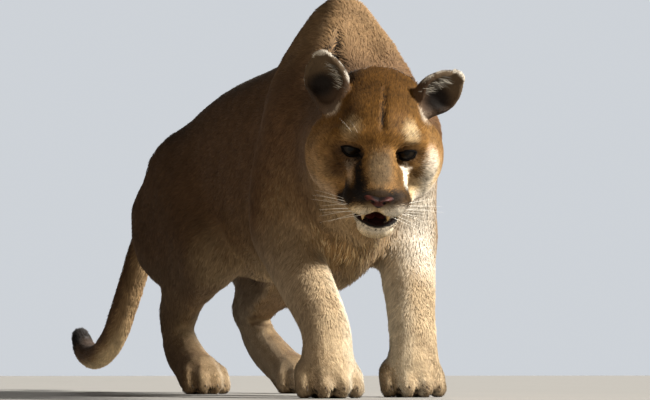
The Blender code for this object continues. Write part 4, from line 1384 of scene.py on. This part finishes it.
class COUGAR_OT_mouth(bpy.types.Operator):
    """Adds the tongue and the two canines that the slightly open mouth shows"""

    bl_idname = "cougar.mouth"
    bl_label = "Mouth"

    def execute(self, context):
        tongue, d = new_ball(48, 32)
        points = np.stack((d[:, 0] * 16, d[:, 1] * 17, d[:, 2] * 4.2), axis=1)
        points[:, 2] -= 1.4 * np.exp(-((points[:, 0] / 3) ** 2)) * (d[:, 2] > 0)
        points[:, 2] += 0.008 * points[:, 0] ** 2
        points[:, 2] -= 0.006 * np.clip(-points[:, 1], 0, 20) ** 2
        set_points(tongue.data, from_head(points + np.array((1.2, -36, -79.0))))
        # tongue: wet rough skin
        wet = {"Roughness": 0.4, "Specular IOR Level": 0.24, "Coat Weight": 0.35, "Coat Roughness": 0.2}
        skin = leather_material("tongue_skin", (*linear("#5e2c25"), 1), 1.1, (0.6, 0.0005), wet)
        finish_piece(tongue, "tongue_skin", skin, "mouth_skin", "tongue")
        # old ivory tooth enamel: ochre with paler clouds, wet
        enamel = {"Roughness": 0.3, "Coat Weight": 0.4, "IOR": 1.6}
        enamel = keratin_material("tooth_enamel", "#a27b45", "#c9aa72", 3.3333, 3.0, enamel)
        for side, label in SIDES:
            tooth, d = new_spike(24, 0.12, 5)
            down = d[:, 2] + 0.5  # 0 at the gum, 1 at the tip
            thick = 1 + 0.25 * np.sin(down * math.pi)
            x = side * 17.2 + d[:, 0] * 3.4 * thick - side * 0.8 * down
            y = -65.5 + d[:, 1] * 4.4 * thick + 2.6 * down**2
            set_points(tooth.data, from_head(np.stack((x, y, -62.5 - 13 * down), axis=1)))
            edit_mesh(bpy.ops.mesh.normals_make_consistent, inside=False)
            finish_piece(tooth, "canine_" + label, enamel, "tooth", "tooth_" + label)
        return {"FINISHED"}


class COUGAR_OT_whiskers(bpy.types.Operator):
    """Adds the white whiskers of the upper lip and the long hairs of the brow"""

    bl_idname = "cougar.whiskers"
    bl_label = "Whiskers"

    def execute(self, context):
        rng = np.random.default_rng(SEED + 1)
        reach = context.scene.cougar_face.whisker_length / MM
        lines = []

        def grow(side, root, way, size, bow, shorten, count, radius):
            t = np.linspace(0, 1, count)[:, None]
            path = root + way * size * t * (1 - shorten * t) + np.array(bow) * size * t * t
            lines.append((path * (side, 1, 1), radius * (1 - 0.8 * t[:, 0])))

        for side in (1, -1):
            for row in range(3):
                for spot in range(4):
                    root = np.array((20 + 5 * spot, -78 + 6 * spot, -50 - 5.5 * row))
                    way = np.array((1.0, 0.25 + 0.12 * spot, 0.10 - 0.28 * row + rng.normal() * 0.08))
                    size = reach * rng.uniform(0.62, 0.98) * (1 - 0.08 * row)
                    grow(side, root, unit(way), size, (0.0, 0.22, -0.16), 0.10, 11, 0.27)
            for spot in range(2):
                root = np.array((30 + 8 * spot, -18 + 4 * spot, 26.0))
                way = np.array((0.35 + 0.2 * spot, -0.35, 0.9))
                grow(side, root, way, 26, (0.2, 0.35, -0.1), 0.0, 8, 0.11)
        # whisker keratin: stiff, white and slightly glossy
        keratin = {"Roughness": 0.35, "IOR": 1.55}
        keratin = keratin_material("whisker_keratin", "#f4efe4", "#d9cfbd", 11.111, 2.0, keratin)
        finish_piece(strands("whiskers", lines), "whiskers", keratin, "coat")
        return {"FINISHED"}


# Stage


# The camera stands in front of the cat's right shoulder, a hand's width above the floor
CAMERA_FROM_EYES = Vector((-1.1333, -2.3425, -0.2969))
CAMERA_AZIMUTH = 24.25  # degrees from +Y towards +X
CAMERA_PITCH = 5.02
CAMERA_LENS = 109.03  # mm on a sensor 36 mm wide
SUN_WIDTH = math.radians(13)  # as soft as a large window
FILL_SIZE, FILL_SPREAD = 0.6, math.radians(80)


def add_light(name, kind, place, target, power, tone):
    light = bpy.data.lights.new(name, kind)
    if kind == "SUN":
        light.angle = SUN_WIDTH
        place = Vector(target) + Vector(place)
    else:
        light.shape = "DISK"
        light.size = FILL_SIZE
        light.spread = FILL_SPREAD
    light.energy = power
    light.color = linear(tone)
    thing = new_thing(name, light)
    thing.location = place
    thing.visible_camera = False
    thing.rotation_euler = (Vector(target) - Vector(place)).to_track_quat("-Z", "Y").to_euler()


class COUGAR_OT_stage(bpy.types.Operator):
    """Adds the floor, the lights, the pale surroundings and the camera"""

    bl_idname = "cougar.stage"
    bl_label = "Stage"

    def execute(self, context):
        stage = context.scene.cougar_stage
        deselect()
        bpy.ops.mesh.primitive_plane_add(size=40)
        floor = context.object
        floor.name = "floor"
        # matt painted board: pale, with the faint unevenness of a roller about 0.33 m wide
        board = mottled((*stage.floor, 1), 333.33, 5.0, 0.94, 1.04)
        matt = ("shader", "BsdfPrincipled", {"Base Color": "tinted.Color", "Roughness": 0.85})
        floor.data.materials.append(new_material("matt_paint", *board, matt))
        eyes = (middle_of("eye_left") + middle_of("eye_right")) / 2
        heading = math.radians(CAMERA_AZIMUTH)
        pitch = math.radians(CAMERA_PITCH)
        ahead = Vector((math.sin(heading), math.cos(heading), 0))
        right = Vector((math.cos(heading), -math.sin(heading), 0))
        camera = new_thing("camera", bpy.data.cameras.new("camera"))
        camera.data.lens = CAMERA_LENS
        camera.data.sensor_width = 36
        camera.location = eyes + CAMERA_FROM_EYES
        view = ahead * math.cos(pitch) + Vector((0, 0, math.sin(pitch)))
        camera.rotation_euler = view.to_track_quat("-Z", "Y").to_euler()
        context.scene.camera = camera
        target = eyes + Vector((0.08, 0.25, -0.05))
        key = right * 2.8 - ahead * 1.05 + Vector((0, 0, 1.85))
        add_light("key_light", "SUN", key, target, stage.key_power, "#fffcf6")
        # close in front of the head, so that it hardly reaches the hindquarters
        fill = target - right * 0.75 - ahead * 1.35 + Vector((0, 0, 0.12))
        add_light("fill_light", "AREA", fill, target, stage.fill_power, "#ffedd6")
        behind = Vector((1.2, 2.2, 1.6))
        add_light("back_light", "SUN", behind, target, stage.back_power, "#f6f3ee")
        world = bpy.data.worlds.new("pale_room")
        world.use_nodes = True
        tree = world.node_tree
        tree.nodes.clear()
        # the walls look pale and give little light, so that the key light models the form
        add_nodes(
            tree,
            ("walls", "Background", {"Color": (*linear("#dde2e8"), 1), "Strength": 0.85}),
            ("glow", "Background", {"Color": (*linear("#e4e3e0"), 1), "Strength": stage.ambient}),
            ("path", "LightPath", {}),
            ("both", "MixShader", {"Fac": "path.Is Camera Ray"}),
            ("out", "OutputWorld", {"Surface": "both.Shader"}),
        )
        for place, name in ((1, "glow"), (2, "walls")):
            tree.links.new(tree.nodes[name].outputs[0], tree.nodes["both"].inputs[place])
        context.scene.world = world
        context.scene.view_settings.view_transform = "Standard"
        return {"FINISHED"}


PIECES = ("skin", "coat", "ear_hair", "claws", "eyes", "nose", "mouth", "whiskers", "stage")


class COUGAR_PT_panel(bpy.types.Panel):
    """Lists the sizes and colours, and a button for each group of pieces"""

    bl_label = "Cougar"
    bl_idname = "COUGAR_PT_panel"
    bl_space_type = "VIEW_3D"
    bl_region_type = "UI"
    bl_category = "Cougar"

    def draw(self, context):
        scene = context.scene
        for group in (scene.cougar_coat, scene.cougar_face, scene.cougar_stage):
            box = self.layout.box()
            for name in group.bl_rna.properties.keys():
                if name not in ("name", "rna_type"):
                    box.prop(group, name)
        for name in PIECES:
            self.layout.operator("cougar." + name)


CLASSES = (
    CougarCoat,
    CougarFace,
    CougarStage,
    COUGAR_OT_skin,
    COUGAR_OT_coat,
    COUGAR_OT_ear_hair,
    COUGAR_OT_claws,
    COUGAR_OT_eyes,
    COUGAR_OT_nose,
    COUGAR_OT_mouth,
    COUGAR_OT_whiskers,
    COUGAR_OT_stage,
    COUGAR_PT_panel,
)


def register():
    for kind in CLASSES:
        bpy.utils.register_class(kind)
    bpy.types.Scene.cougar_coat = PointerProperty(type=CougarCoat)
    bpy.types.Scene.cougar_face = PointerProperty(type=CougarFace)
    bpy.types.Scene.cougar_stage = PointerProperty(type=CougarStage)


def unregister():
    del bpy.types.Scene.cougar_coat
    del bpy.types.Scene.cougar_face
    del bpy.types.Scene.cougar_stage
    for kind in reversed(CLASSES):
        bpy.utils.unregister_class(kind)


def main():
    register()
    for name in PIECES:
        getattr(bpy.ops.cougar, name)()


if __name__ == "__main__":
    main()
